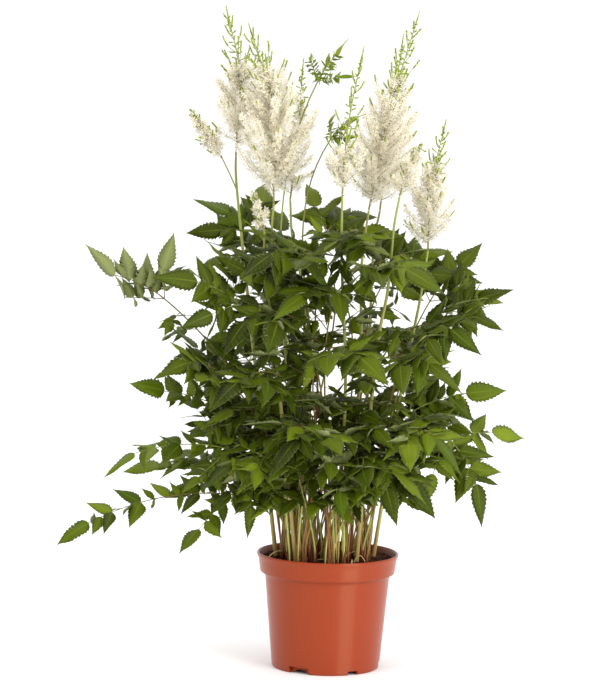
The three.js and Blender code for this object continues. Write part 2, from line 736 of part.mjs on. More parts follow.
function placedSkeleton(leaf, index) {
  const [name] = leaf;
  const others = (other) => other.node !== name;
  for (const shift of DEPTH_SHIFTS) {
    const random = seededRandom(LEAF_SEED + index);
    const skeleton = leafSkeleton(leaf, shift, random);
    if (skeletonTubes(skeleton, STEM_PAD).every((test) => isClear(test, others))) {
      skeletonTubes(skeleton).forEach((tube) => place(name, "stem", tube));
      return { leaf, skeleton, random };
    }
  }
  throw new Error(name + " has no clear place");
}

// The first size and turn at which a leaflet stands clear, or nothing where none does.
function clearLeaflet(name, row, normal) {
  const otherNodes = (other) => other.node !== name;
  const ownNode = (other) => other.node === name;
  for (const size of LEAFLET_SIZES) {
    for (const [turn, dip] of LEAFLET_TURNS) {
      const [pitch, twist] = [row.pitch + radians(dip), row.twist + radians(turn)];
      const leaflet = leafletOn({ ...row, pitch, twist, length: row.length * size }, normal);
      if (
        isClear(loneLeaflet(leaflet, { pad: LEAFLET_PAD }), otherNodes) &&
        isClear(loneLeaflet(leaflet, OWN_LEAF_TEST), ownNode)
      ) {
        place(name, "leaflet", loneLeaflet(leaflet));
        return leaflet;
      }
    }
  }
  return null;
}

function growOrClose(shell, socket, leaflet) {
  if (leaflet) growLeaflet(shell, socket, leaflet);
  else shell.close(socket);
}

// Grows one branch of a leaf from a ring or socket, with its leaflet pairs and its end leaflet.
function growLeafBranch(shell, from, branch, pairs, [endLeaflet, ...pairLeaflets]) {
  const step = SOCKET_REACH / branch.curve.getLength();
  let last = from;
  for (let pair = 1; pair <= pairs; pair++) {
    const share = pairShare(pair, pairs);
    const near = shell.add(branchRing(branch, share - step));
    const far = shell.add(branchRing(branch, share + step));
    shell.bridge(last, near);
    shell.bridge(near, far, [LEFT_SIDE, RIGHT_SIDE]);
    growOrClose(shell, leftSocket(near, far), pairLeaflets[2 * pair - 2]);
    growOrClose(shell, rightSocket(near, far), pairLeaflets[2 * pair - 1]);
    last = far;
  }
  const end = shell.add(branchRing(branch, 1));
  shell.bridge(last, end);
  growOrClose(shell, end, endLeaflet);
}

function leafGeometry({ leaf, skeleton, random }) {
  const [name, , , length, pairs, sidePairs] = leaf;
  const { stalk, middle, sides, normal } = skeleton;
  const clearRows = (rows) => rows.map((row) => clearLeaflet(name, row, normal));
  const middleLeaflets = clearRows(leafletRows(name, middle.curve, pairs, length, random));
  const sideLeaflets = sides.map(({ curve }) =>
    clearRows(leafletRows(name, curve, sidePairs, length * LEAFLET.sideScale, random)),
  );
  const shell = new Shell();
  const stalkNumbers = petioleRings(skeleton).map((ring) => shell.add(ring));
  const nearShare = 1 - SOCKET_REACH / stalk.getLength();
  const near = shell.add(ringOn(stalk, nearShare, middle.across, PETIOLE.forkHalf));
  const far = shell.add(branchRing(middle, SOCKET_REACH / middle.curve.getLength()));
  shell.close(stalkNumbers[0].toReversed());
  stalkNumbers.forEach((ring, i) => shell.bridge(ring, stalkNumbers[i + 1] ?? near));
  shell.bridge(near, far, [LEFT_SIDE, RIGHT_SIDE]);
  growLeafBranch(shell, leftSocket(near, far), sides[0], sidePairs, sideLeaflets[0]);
  growLeafBranch(shell, rightSocket(near, far), sides[1], sidePairs, sideLeaflets[1]);
  growLeafBranch(shell, far, middle, pairs, middleLeaflets);
  return shell.geometry();
}

// ---------- The plant ----------

const plant = new THREE.Group();

function addMesh(name, geometry, look) {
  const mesh = new THREE.Mesh(geometry, new THREE.MeshStandardMaterial(COLOURS[look]));
  mesh.name = name;
  plant.add(mesh);
}

const pot = geometryOf(potSolid());
place("pot", "pot", pot);
const stalks = STALKS.map(stalkGeometry);
const skeletons = LEAVES.map(placedSkeleton);
const plumes = PLUMES.map(plumeGeometry);
const leaves = skeletons.map(leafGeometry);

const holes = [
  ...STALKS.map(([, points]) => holeSolid(curveThrough(points), TO_THE_LEFT, STALK.footHalf)),
  ...skeletons.map(({ skeleton: { stalk, middle } }) =>
    holeSolid(stalk, middle.across, PETIOLE.footHalf),
  ),
];
const soil = holes.reduce((filling, hole) => filling.subtract(hole), solidOf(soilGeometry()));

addMesh("pot", pot, "pot");
addMesh("soil", geometryOf(soil), "soil");
stalks.forEach((geometry, i) => addMesh(STALKS[i][0], geometry, "stem"));
plumes.forEach((geometry, i) => addMesh(PLUMES[i][0], geometry, "plume"));
leaves.forEach((geometry, i) => addMesh(LEAVES[i][0], geometry, "leaf"));

export default plant;
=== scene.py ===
import math

import bpy
import numpy as np
from mathutils import Euler, Matrix, Vector, noise
from mathutils.kdtree import KDTree


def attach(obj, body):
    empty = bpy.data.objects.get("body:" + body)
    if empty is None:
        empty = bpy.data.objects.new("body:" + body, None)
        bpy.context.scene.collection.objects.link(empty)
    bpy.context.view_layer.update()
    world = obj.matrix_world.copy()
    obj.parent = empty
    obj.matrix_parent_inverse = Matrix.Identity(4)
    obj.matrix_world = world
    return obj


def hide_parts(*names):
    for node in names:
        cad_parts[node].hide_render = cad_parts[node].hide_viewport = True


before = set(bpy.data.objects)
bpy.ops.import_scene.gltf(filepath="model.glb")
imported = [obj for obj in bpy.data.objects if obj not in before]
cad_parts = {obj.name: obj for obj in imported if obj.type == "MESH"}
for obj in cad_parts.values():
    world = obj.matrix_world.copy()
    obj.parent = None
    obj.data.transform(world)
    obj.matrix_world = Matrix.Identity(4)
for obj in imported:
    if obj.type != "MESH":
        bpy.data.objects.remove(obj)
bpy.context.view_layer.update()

METRES = 0.001
BODY = "root"


def put_in_scene(name, data):
    """A new object in the scene, made from a mesh, a light or a camera."""
    thing = bpy.data.objects.new(name, data)
    bpy.context.scene.collection.objects.link(thing)
    return thing


# ---------- Camera ----------

CAMERA_PLACE = (-38.6, -3500.0, 716.0)
CAMERA_PITCH = 0.0927  # radians below level
CAMERA_ROLL = 0.02138  # radians
FOCAL_PIXELS = 2951.0
IMAGE_HEIGHT = 683.0
SENSOR = 36.0
FAR_CLIP = 50.0  # metres


def make_camera():
    data = bpy.data.cameras.new("camera")
    data.sensor_width = SENSOR
    data.lens = FOCAL_PIXELS * SENSOR / IMAGE_HEIGHT
    data.clip_end = FAR_CLIP
    camera = put_in_scene("camera", data)
    level = Euler((math.pi / 2 - CAMERA_PITCH, 0, 0)).to_matrix()
    camera.rotation_euler = (level @ Matrix.Rotation(CAMERA_ROLL, 3, "Z")).to_euler()
    camera.location = Vector(CAMERA_PLACE) * METRES
    bpy.context.scene.camera = camera


make_camera()

# ---------- Driving dimensions, as in the solids ----------

POT_HEIGHT = 138
LIP_RADIUS = 85
COLLAR_RADIUS = 82.8
COLLAR_FOOT = 115
BODY_TOP_RADIUS = 75
BASE_RADIUS = 64.8
POT_WALL = 2
NOTCH_COUNT = 6
NOTCH_FIRST_ANGLE = -120
NOTCH_DEPTH = 7
WIDE_NOTCH = (28, 8)
NARROW_NOTCH = (15, 5)

SOIL_RADIUS = 79.6
SOIL_EDGE = 131
SOIL_CROWN = 134.5

CORE_FOOT_RADIUS = 1.9
CORE_TOP_RADIUS = 1.2
GOLDEN_ANGLE = 137.5
PLANT_TURN = 30
FIRST_BRANCH = 0.04
LAST_BRANCH = 0.96
LOW_ELEVATION = 42
HIGH_ELEVATION = 68
BRANCH_LENGTHS = (0.88, 1.08)
TOP_BRANCH_RADIUS = 0.62

STALK_RADII = (12, 56)
STALK_SPREAD = 0.6
STALK_TURN_PER_SHIFT = 0.02
STALK_LEAN = 0.16
STALK_FOOT_REACH = 0.42
STALK_FORK_REACH = 0.3
LEAF_LIFT = 0.3
LEAF_END_SHARE = 0.95
MIDDLE_END_HALF = 0.65
SIDE_SHARE = 0.5
SIDE_LONGEST = 72
SIDE_ANGLE = 56
SIDE_DROOP = 0.04

LEAFLET_HALF_WIDTH = 0.27
LEAFLET_THICKNESS = 1.6
RIB_SHARE = 0.46
LEAFLET_FOLD = 0.16
LEAFLET_DROOP = 0.16
LEAFLET_ANGLE = 54
LEAFLET_PITCH = 3
END_SCALE = 1.12
PAIR_SCALE = 0.94
SIDE_SCALE = 0.9
LENGTH_RANGE = (0.88, 1.1)
ANGLE_RANGE = (-8, 8)
PITCH_RANGE = (-16, 20)
TWIST_RANGE = (-22, 22)

PLUME_SEED = 200
LEAF_SEED = 700

# What the solids try in turn until a leaf, a plume's branch or a leaflet has a clear place.
DEPTH_SHIFTS = (0, 5, -5, 10, -10, 15, -15, 21, -21, 28, -28, 36, -36)
BRANCH_TRIES = (
    (0, 1), (20, 1), (-20, 1), (0, 0.75), (38, 0.9), (-38, 0.9), (0, 0.5), (50, 0.6), (-50, 0.6),
)
LEAFLET_SIZES = (1, 0.78)
LEAFLET_TURNS = (
    (0, 0), (22, 8), (-22, 8), (0, -24), (0, 30), (44, 0), (-44, 0), (32, 40), (-32, 40),
    (62, -20), (-62, -20),
)

# Flower stems: the points that each runs through, from the soil up to its plume.
STALKS = {
    "stem_1": [(-62, 0, 132), (-98, 15, 409), (-110, 25, 503), (-119, 30, 580), (-120, 32, 614)],
    "stem_2": [(-18, -30, 133), (-54, -25, 375), (-62, -22, 444), (-74, -20, 512), (-73, -20, 556)],
    "stem_3": [(-14, 24, 133), (-28, 36, 300), (-36, 45, 443), (-50, 55, 508), (-54, 60, 556)],
    "stem_4": [(6, -36, 133), (16, -50, 327), (8, -60, 495), (7, -62, 569)],
    "stem_5": [(27, 0, 133), (34, 5, 352), (33, 8, 454), (34, 10, 498), (40, 12, 548)],
    "stem_6": [(40, 34, 132), (45, 60, 346), (48, 75, 495), (55, 80, 545)],
    "stem_7": [(34, -33, 132), (51, -45, 375), (63, -50, 458), (68, -55, 529), (74, -55, 568)],
    "stem_8": [(55, 8, 132), (82, 5, 323), (103, 0, 443), (111, 0, 503)],
    "stem_9": [(-38, -38, 132), (-66, -50, 373), (-80, -60, 467), (-83, -65, 524)],
}
# Side branches: how far up its stem each one leaves, and the points that it runs through after that.
SIDE_BRANCHES = {"stem_1": (0.7, [(-128, 25, 590), (-136, 20, 606)])}

# Plumes: points from base to tip, longest branch, branch radius, number of branches, and from which
# share of the plume's height the florets are still green buds.
PLUMES = {
    "plume_1": ([(-120, 32, 614.5), (-117, 35, 705), (-134, 38, 781)], 58, 7.4, 18, 0.56),
    "plume_2": ([(-73, -20, 556.5), (-76, -20, 668), (-105, -20, 760)], 76, 9, 24, 0.73),
    "plume_3": ([(-54, 60, 556.5), (-46, 66, 640), (-42, 70, 720)], 34, 5.8, 13, 0.7),
    "plume_4": ([(7, -62, 569.5), (12, -65, 650), (27, -68, 735)], 42, 5.2, 14, 0.3),
    "plume_5": ([(40, 12, 548.5), (60, 14, 660), (93, 18, 778)], 72, 8.4, 22, 0.68),
    "plume_6": ([(55, 80, 545.5), (66, 85, 650), (78, 90, 752)], 58, 7.4, 16, 0.7),
    "plume_7": ([(74, -55, 568.5), (84, -58, 604), (99, -60, 632)], 26, 5.4, 8, 0.9),
    "plume_8": ([(111, 0, 503.5), (113, -4, 580), (127, -10, 652)], 48, 7, 16, 0.68),
    "plume_9": ([(-83, -65, 524.5), (-90, -68, 550), (-98, -70, 572)], 17, 4.8, 6, 1.1),
    "plume_10": ([(-136.25, 19.85, 606.5), (-156, 12, 636), (-175, 5, 664)], 26, 5.6, 9, 1.05),
}

# Compound leaves: fork, tip, leaflet length, leaflet pairs on the middle branch and on each side
# branch, how far the upper face turns to the front in degrees, and how fresh and pale the green is.
LEAVES = {
    "leaf_top_shoot": ((-24, -12, 700), (8, -15, 748), 22, 1, 0, 30, 0.9),
    "leaf_low_shoot": ((-8, -30, 632), (24, -40, 668), 21, 1, 0, 30, 0.8),
    "leaf_left_reach": ((-200, -22, 440), (-296, -46, 486), 46, 2, 1, -30, 0.25),
    "leaf_low_left_reach": ((-118, -20, 208), (-320, -60, 168), 40, 4, 1, 38, 0.3),
    "leaf_right_reach": ((140, -10, 432), (203, -20, 462), 40, 1, 1, 35, 0.1),
    "leaf_low_right_reach": ((136, -20, 286), (196, -60, 196), 46, 2, 1, 45, 0.3),
    "leaf_mid_right": ((95, 10, 305), (201, 10, 345), 44, 2, 1, 40, 0.3),
    "leaf_mid_left": ((-112, -20, 300), (-229, -60, 345), 38, 3, 1, 35, 0.25),
    "leaf_low_left_2": ((-110, 40, 235), (-244, 70, 228), 42, 2, 1, 35, 0.4),
    "leaf_low_left_3": ((-118, -56, 266), (-264, -96, 262), 38, 3, 1, 35, 0.3),
    "leaf_high_left_1": ((-112, -60, 440), (-193, -105, 485), 46, 2, 1, 40, 0.15),
    "leaf_high_left_2": ((-96, 40, 520), (-160, 70, 560), 46, 2, 1, 40, 0.2),
    "leaf_high_left_3": ((-80, 70, 490), (-150, 120, 520), 48, 2, 1, 35, 0.15),
    "leaf_high_right_1": ((-10, 60, 520), (55, 105, 560), 50, 2, 1, 35, 0.3),
    "leaf_high_right_2": ((70, 50, 470), (140, 90, 515), 46, 2, 1, 35, 0.2),
    "leaf_high_right_3": ((116, 20, 440), (176, 45, 512), 44, 2, 1, 35, 0.15),
    "leaf_high_right_4": ((105, -70, 420), (170, -120, 415), 46, 2, 1, 35, 0.1),
    "leaf_high_front_1": ((-35, -62, 504), (-112, -114, 496), 50, 2, 1, 22, 0.2),
    "leaf_high_front_2": ((45, -70, 490), (122, -120, 482), 50, 2, 1, 18, 0.3),
    "leaf_high_front_3": ((14, -42, 520), (62, -110, 500), 50, 2, 1, 12, 0.2),
    "leaf_high_front_4": ((-72, -26, 482), (-146, -82, 466), 48, 2, 1, 20, 0.1),
    "leaf_mid_front_1": ((-62, -70, 430), (-140, -120, 416), 50, 2, 1, 18, 0.1),
    "leaf_mid_front_2": ((75, -75, 385), (150, -125, 370), 50, 2, 1, 18, 0.25),
    "leaf_mid_front_3": ((2, -80, 394), (63, -144, 376), 50, 2, 1, 15, 0.2),
    "leaf_mid_left_2": ((-135, -30, 360), (-200, -70, 385), 44, 2, 1, 25, 0.15),
    "leaf_mid_left_3": ((-100, 60, 360), (-166, 120, 390), 48, 2, 1, 35, 0.1),
    "leaf_mid_left_4": ((-85, 70, 285), (-155, 130, 290), 46, 2, 1, 35, 0.15),
    "leaf_mid_right_2": ((105, 60, 315), (180, 105, 300), 44, 2, 1, 35, 0.2),
    "leaf_low_right_2": ((85, -70, 300), (160, -118, 280), 48, 2, 1, 25, 0.3),
    "leaf_low_front_1": ((-14, -85, 298), (-70, -150, 280), 50, 2, 1, 12, 0.25),
    "leaf_low_front_2": ((38, -90, 265), (108, -144, 244), 50, 2, 1, 18, 0.3),
    "leaf_low_front_3": ((-78, -72, 262), (-150, -116, 248), 44, 1, 1, 22, 0.3),
    "leaf_back_1": ((-45, 80, 440), (-75, 165, 400), 48, 2, 1, 0, 0.15),
    "leaf_back_2": ((60, 85, 400), (95, 166, 372), 48, 2, 1, 0, 0.15),
    "leaf_back_3": ((10, 85, 310), (20, 176, 280), 48, 2, 1, 0, 0.2),
    "leaf_mid_front_4": ((-10, -60, 462), (-62, -130, 444), 48, 2, 1, 14, 0.2),
    "leaf_mid_front_5": ((-76, -70, 362), (-142, -124, 344), 48, 2, 1, 20, 0.2),
    "leaf_low_front_4": ((-90, -62, 222), (-94, -112, 188), 32, 2, 1, 15, 0.2),
    "leaf_low_right_3": ((66, -80, 246), (122, -126, 228), 46, 2, 1, 25, 0.2),
}

# How far the leaflets of some leaves point up out of the leaf's plane, in degrees.
LEAFLET_RISES = {"leaf_left_reach": 55, "leaf_mid_left": 12}

# ---------- Dimensions of the fine forms ----------

MATCH = 0.15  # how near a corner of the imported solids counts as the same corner
ROOT_DEPTH = 7  # how deep stems and stalks stand in the soil here
LEAF_LOOKS, PLUME_LOOKS, STEM_LOOKS, SOIL_LOOKS = 9000, 5000, 3000, 77  # seeds

# Radii of stems and stalks, set out evenly from foot to end.
STEM_RADII = (2.3, 1.25)
SIDE_STEM_RADII = (0.95, 0.75)
PETIOLE_RADII = (1.35, 0.8)
RACHIS_RADII = (0.8, 0.42)
SIDE_RACHIS_RADII = (0.62, 0.38)
SPRIG_RADII = (0.6, 0.35)
UNDER_STALK_RADII = (1.1, 0.55)
UNDER_BRANCH_RADII = (0.55, 0.35)
SHEATH_RADII = (1.9, 1.8, 1.4, 0.9, 0.25)
PLUME_STALK_RADII = (1.25, 0.4)
PLUME_BRANCH_RADII = (0.5, 0.22)
PLUME_TWIG_RADII = (0.4, 0.25)
STRAW_RADIUS = 0.55
# How much wider the very foot is, and how fast that fades along the stalk.
STEM_FLARE = (0.9, 20)
PETIOLE_FLARE = (0.6, 22)

TEETH = 10  # on each side of a large leaflet
SMALL_TEETH = 6
# One tooth of a leaflet's edge: place along the tooth, and how far out of its notch.
TOOTH = ((0.0, 0.0), (0.86, 1.0))
TOOTH_DEPTH = 0.25
SMALL_TOOTH_SHARE = 0.6  # every second tooth is this deep
TOOTHED = (0.04, 0.985)  # the part of a blade's length that has teeth
# A blade's section: share of the half width, and above or below the middle.
BLADE_RING = ((1, 0), (0.5, 1), (0, 1), (-0.5, 1), (-1, 0), (0, -1))
BLADE_HALF_THICKNESS = 0.28
BLADE_RIB = 1.4  # how much thicker a blade is along its middle
BLADE_SWELL, BLADE_TAPER = 0.55, 1.35  # powers that round its foot and draw out its tip
BLADE_PEAK = 0.319  # the widest that these powers come to
PLEAT = 0.44  # how far the blade is pleated up and down between its side veins
VEIN_SLANT = 0.14  # how far the side veins run forward on their way out to the edge
NECK_HALF = 0.42  # half the width where the blade is narrowest
EDGE_DROOP = 0.035  # how far the edges hang, beside the length
BLADE_WAVE = 2.2  # the most that a blade waves up and down
WAVE_TURNS = (5, 9)
BLADE_WIDTHS = (0.7, 1.05)  # beside the leaflets of the solids
FRESH_JITTER = 0.16

# Small leaflets: lengths beside the leaf's large leaflets, and spans of their angles in degrees.
SMALL_SIZES = (0.5, 0.85)
SMALL_ANGLES = (46, 76)
SMALL_PITCHES = (-35, 45)
SMALL_TWISTS = (-50, 50)
YOUNG_LEAVES = ("leaf_top_shoot", "leaf_low_shoot")
YOUNG_BLADE = 0.6  # how narrow a leaflet of a young leaf is beside another
YOUNG_SIZES = (0.35, 0.6)
YOUNG_PAIRS = 9  # of small leaflets on each branch of a young leaf

SPRIG_STEP = 31  # between the short side branches of a leaf's stalk
SPRIG_TOP = 0.92  # place of the highest of them on the stalk
SPRIG_LOWEST = 215  # no side branch leaves a stalk below this height
SPRIG_TURN = 1.6  # the most that they turn from the way outwards, in radians
SPRIG_ELEVATIONS = (5, 50)
SPRIG_LENGTHS = (24, 46)
SPRIG_DROOP = 0.12
SPRIG_LEAFLETS = (0.5, 0.72)  # their length beside the leaf's large leaflets
SPRIG_PAIR_SIZES = (0.8, 1.05)  # length of their pairs beside the leaflet at their end

UNDER_HEIGHTS = (75, 185)  # how high over the soil the small leaves beside the large ones stand
UNDER_TURN = 0.9
UNDER_GAPS = (4, 8)  # from the foot of the large leaf
UNDER_RADII = (20, 95)
UNDER_REACH = 38
UNDER_DROOP = 4
UNDER_LEAFLET = 40
UNDER_SIZES = (0.65, 0.95)
UNDER_PAIRS = ((0.06, 0.5, 0.8), (0.6,), ())  # places of the leaflet pairs on each small leaf
SHEATHS = 3  # reddish sheaths round the foot of each leaf
SHEATH_LENGTHS = (9, 24)
SHEATH_SIZES = (0.7, 1.15)
SHEATH_FOOT = (1.6, 3)  # how far out from the leaf's foot, and how far down

# Corners of a petal beside the floret's size: out from the middle, to the side and up.
PETAL = ((0.02, 0, 0), (0.62, 0.19, 0.4), (0.62, -0.19, 0.4), (1.0, 0, 0.62))
PETALS = 3
FLORET_SIZE = 3.6
BUD_SIZE = 1.25
SPRAY_STEP = 1.75
SPRAY_ANGLE = 35
SPRAY_FOOT = 0.25  # the part of a spray without florets
SCATTER = {"open": 0.4, "bud": 0.06}  # how far florets and buds stray from their places
FLORETS_PER_SPRAY = 4
BUD_STEP = 1.3
BUD_REACH = 0.15  # how far a bud stands off its twig
BUD_CHAIN = 10.5  # length of the chain of buds at the end of a branch
BRANCH_BEND = 0.12
ELEVATION_JITTER = 8
OPEN_MOST = 1.15  # how far out the florets of the lowest branches are open, beside the length
FILL_PER_BRANCH = 3
FILL_LENGTHS = (0.6, 1.02)
TWIG_START = 0.1  # how far below a plume's green top its twigs begin
TWIG_STEP = 2.7  # between two twigs of a plume's green top
TWIG_LENGTHS = (12.5, 2.8)  # of the lowest and the highest of them
TWIG_ELEVATIONS = (0, 42)
TWIG_BUD_SIZE = 0.92
TIP_RODS = (13, 7)  # the bare chain of buds at a plume's tip: below its end and beyond it
TIP_BUD_SIZES = (1.1, 0.6)
TIP_NOD = 0.012
SHORT_PLUME = 90  # a plume lower than this has no buds beyond its end

POT_SIDES = 144
POT_CREASE = 38  # degrees between two faces that meet in a crease
RAISED_UNDERSIDE = 4.5  # of the pot, inside its foot ring
SOIL_SIDES, SOIL_RINGS = 110, 46
SOIL_EVEN_EDGE = 6  # width of the strip along the pot's wall where the soil gets even
# Unevenness of the soil: height and fineness.
SOIL_BUMPS = ((1.8, 0.06), (1.1, 0.19), (0.6, 0.5))
CRUMBS = 1700
CRUMB_SIZES = (0.5, 1.0)
LARGE_CRUMB = 1.1  # what the largest crumbs have over these
STRAWS = 9  # dry bits that lie on the soil
STRAW_PLACES = (30, 62)
STRAW_LIMIT = 70  # no straw that lies far out goes farther out than this
STRAW_LENGTHS = (18, 40)
STRAW_RISES = (4, 22)

# The studio, in metres and watts.
FLOOR_HALF = 30.0
# Lights: place, the point that each looks at, width and height, power, and if it shows in gloss.
LIGHTS = {
    "key": ((1.62, -1.95, 1.1), (0, 0, 0.3), (1.35, 2.1), 50, True),
    "fill": ((-1.7, -1.7, 2.3), (0, 0, 0.4), (1.2, 1.2), 21, False),
}

# ---------- Vectors, curves and draws ----------

UP = np.array((0.0, 0.0, 1.0))


def lerp(a, b, share):
    return a + (b - a) * share


def unit(v):
    return v / np.linalg.norm(v)


def square_to(axis, direction):
    return unit(direction - axis * np.dot(direction, axis))


def between(a, b, angle):
    return a * math.cos(angle) + b * math.sin(angle)


def spun(v, axis, angle):
    """A vector turned about a unit axis."""
    return between(v, np.cross(axis, v), angle) + axis * np.dot(axis, v) * (1 - math.cos(angle))


def level_way(angle):
    """The level direction at an angle round the upright axis."""
    return np.array((math.cos(angle), math.sin(angle), 0.0))


def smooth_step(low, high, value):
    share = min(1.0, max(0.0, (value - low) / (high - low)))
    return share * share * (3 - 2 * share)


class Draws:
    """The same seeded draws as the solids use."""

    def __init__(self, seed):
        self.state = seed
        self.next()

    def next(self):
        self.state = (self.state * 1664525 + 1013904223) % 4294967296
        return self.state / 4294967296

    def within(self, span):
        return lerp(span[0], span[1], self.next())


class Curve:
    """A curve, known by what turns a share of the way along it into a point."""

    def __init__(self, point):
        self.point = point

    def tangent(self, share):
        step = 1e-4
        return unit(self.point(min(1, share + step)) - self.point(max(0, share - step)))

    def points(self, count):
        return np.array([self.point(i / (count - 1)) for i in range(count)])

    def rooted_points(self, count):
        """Points along the curve, and one more that is down in the soil."""
        path = self.points(count)
        return np.concatenate([[path[0] - self.tangent(0) * ROOT_DEPTH], path])


def bezier(*corners):
    def point(share):
        row = [np.array(c, float) for c in corners]
        while len(row) > 1:
            row = [lerp(a, b, share) for a, b in zip(row, row[1:])]
        return row[0]
    return Curve(point)


def arched(start, way, reach, drop):
    """A branch that sets out along its way and ends lower by the drop."""
    return bezier(start, start + way * reach / 2, start + way * reach - drop)


def curve_through(corners):
    """The smooth curve through points that the stems of the solids follow."""
    inner = [np.array(c, float) for c in corners]
    row = [2 * inner[0] - inner[1], *inner, 2 * inner[-1] - inner[-2]]

    def point(share):
        place = (len(inner) - 1) * share
        i = min(int(place), len(inner) - 2)
        t = place - i
        p0, p1, p2, p3 = row[i:i + 4]
        m1, m2 = (p2 - p0) / 2, (p3 - p1) / 2
        c2 = -3 * p1 + 3 * p2 - 2 * m1 - m2
        c3 = 2 * p1 - 2 * p2 + m1 + m2
        return p1 + m1 * t + c2 * t * t + c3 * t ** 3
    return Curve(point)


class Packed:
    """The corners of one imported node, for finding out which rule was followed there."""

    def __init__(self, node):
        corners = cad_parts[node].data.vertices
        self.tree = KDTree(len(corners))
        for i, corner in enumerate(corners):
            self.tree.insert(corner.co, i)
        self.tree.balance()

    def has(self, *points):
        return all(self.tree.find(Vector(p) * METRES)[2] < MATCH * METRES for p in points)


# ---------- Meshes ----------


class Shape:
    """Points and triangles of one piece, with named numbers at each point."""

    def __init__(self, *names):
        self.names = names
        self.points = []
        self.faces = []
        self.looks = []
        self.numbers = {name: [] for name in names}
        self.count = 0

    def add(self, points, faces, look=0, **numbers):
        points = np.asarray(points, float)
        self.points.append(points)
        self.faces.append(np.asarray(faces, int) + self.count)
        self.looks.append(np.full(len(faces), look))
        for name in self.names:
            self.numbers[name].append(np.broadcast_to(numbers.get(name, 0.0), len(points)))
        self.count += len(points)


def make_piece(name, shape, materials, nodes, smooth=True):
    """A piece of the visual model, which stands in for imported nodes."""
    mesh = bpy.data.meshes.new(name)
    mesh.from_pydata(np.concatenate(shape.points) * METRES, [], np.concatenate(shape.faces))
    mesh.polygons.foreach_set("material_index", np.concatenate(shape.looks))
    mesh.polygons.foreach_set("use_smooth", np.full(len(mesh.polygons), smooth))
    for number, values in shape.numbers.items():
        attribute = mesh.attributes.new(number, "FLOAT", "POINT")
        attribute.data.foreach_set("value", np.concatenate(values))
    for material in materials:
        mesh.materials.append(material)
    piece = put_in_scene(name, mesh)
    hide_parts(*nodes)
    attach(piece, BODY)
    return piece


def ring_faces(rings, sides):
    """Triangles of a closed tube of rings, whose two end points come after the rings."""
    faces = []
    for r in range(rings - 1):
        for s in range(sides):
            a, b = r * sides + s, r * sides + (s + 1) % sides
            faces += [(a, b, a + sides), (b, b + sides, a + sides)]
    foot, tip = rings * sides, rings * sides + 1
    last = (rings - 1) * sides
    for s in range(sides):
        beside = (s + 1) % sides
        faces += [(foot, beside, s), (tip, last + s, last + beside)]
    return np.array(faces)


def tube(path, radii, sides):
    """A round tube along a path: its points and triangles."""
    tangents = np.gradient(path, axis=0)
    tangents /= np.linalg.norm(tangents, axis=1)[:, None]
    side = square_to(tangents[0], np.array((0.3, 1.0, 0.2)))
    turns = 2 * np.pi * np.arange(sides)[:, None] / sides
    rings = []
    for centre, forward, radius in zip(path, tangents, radii):
        side = square_to(forward, side)
        other = np.cross(forward, side)
        rings.append(centre + radius * (np.cos(turns) * side + np.sin(turns) * other))
    return np.concatenate([*rings, path[:1], path[-1:]]), ring_faces(len(path), sides)


def evenly(values, count):
    """Values set out evenly over a count of places, and straight between them."""
    values = np.atleast_1d(values)
    return np.interp(np.linspace(0, 1, count), np.linspace(0, 1, len(values)), values)


def flared(radii, flare, count):
    """Radii set out evenly from foot to end, with a wider foot."""
    share = np.linspace(0, 1, count)
    return lerp(*radii, share) + flare[0] * np.exp(-share * flare[1])


def add_stalk(shape, path, radii, along, tone, look=1, sides=7):
    """A stalk, with its radii and its places on the plant set out evenly along the path."""
    points, faces = tube(path, evenly(radii, len(path)), sides)
    places = np.repeat(evenly(along, len(path)), sides)
    shape.add(points, faces, look, along=np.append(places, places[[0, -1]]), tone=tone)


# ---------- Materials ----------


class Nodes:
    """The node tree of a material or of the world, built with few words."""

    def __init__(self, owner):
        owner.use_nodes = True
        self.owner = owner
        self.tree = owner.node_tree

    def new(self, kind, inputs=(), **settings):
        node = self.tree.nodes.new("ShaderNode" + kind)
        for key, value in settings.items():
            setattr(node, key, value)
        for socket, value in dict(inputs).items():
            self.put(node.inputs[socket], value)
        return node

    def put(self, socket, value):
        if isinstance(value, bpy.types.NodeSocket):
            self.tree.links.new(value, socket)
        else:
            socket.default_value = value

    def number(self, name):
        return self.new("Attribute", attribute_name=name).outputs["Fac"]

    def math(self, operation, *values):
        node = self.new("Math", operation=operation)
        for socket, value in zip(node.inputs, values):
            self.put(socket, value)
        return node.outputs[0]

    def mix(self, share, a, b):
        node = self.new("Mix", data_type="RGBA")
        for socket, value in zip((node.inputs[0], node.inputs[6], node.inputs[7]), (share, a, b)):
            self.put(socket, value)
        return node.outputs[2]

    def grain(self, scale, detail=3.0, stretch=(1, 1, 1)):
        place = self.new("TexCoord").outputs["Object"]
        mapping = self.new("Mapping", {"Vector": place, "Scale": stretch})
        texture = self.new("TexNoise", {"Vector": mapping.outputs[0], "Scale": scale, "Detail": detail})
        return texture.outputs["Fac"]

    def ramp(self, value, places, colors):
        node = self.new("ValToRGB", {"Fac": value})
        elements = node.color_ramp.elements
        for _ in places[2:]:
            elements.new(0.5)
        for element, place, color in zip(elements, places, colors):
            element.position = place
            element.color = color
        return node.outputs["Color"]

    def spread(self, value, low, high, to_low=0.0, to_high=1.0):
        node = self.new("MapRange", {
            "Value": value, "From Min": low, "From Max": high, "To Min": to_low, "To Max": to_high,
        })
        return node.outputs[0]

    def bump(self, height, strength, distance):
        node = self.new("Bump", {"Height": height, "Strength": strength, "Distance": distance})
        self.put(self.tree.nodes["Principled BSDF"].inputs["Normal"], node.outputs[0])

    def finish(self, color, roughness, **sockets):
        shader = self.tree.nodes["Principled BSDF"]
        self.put(shader.inputs["Base Color"], color)
        self.put(shader.inputs["Roughness"], roughness)
        for socket, value in sockets.items():
            shader.inputs[socket.replace("_", " ")].default_value = value
        return self.owner


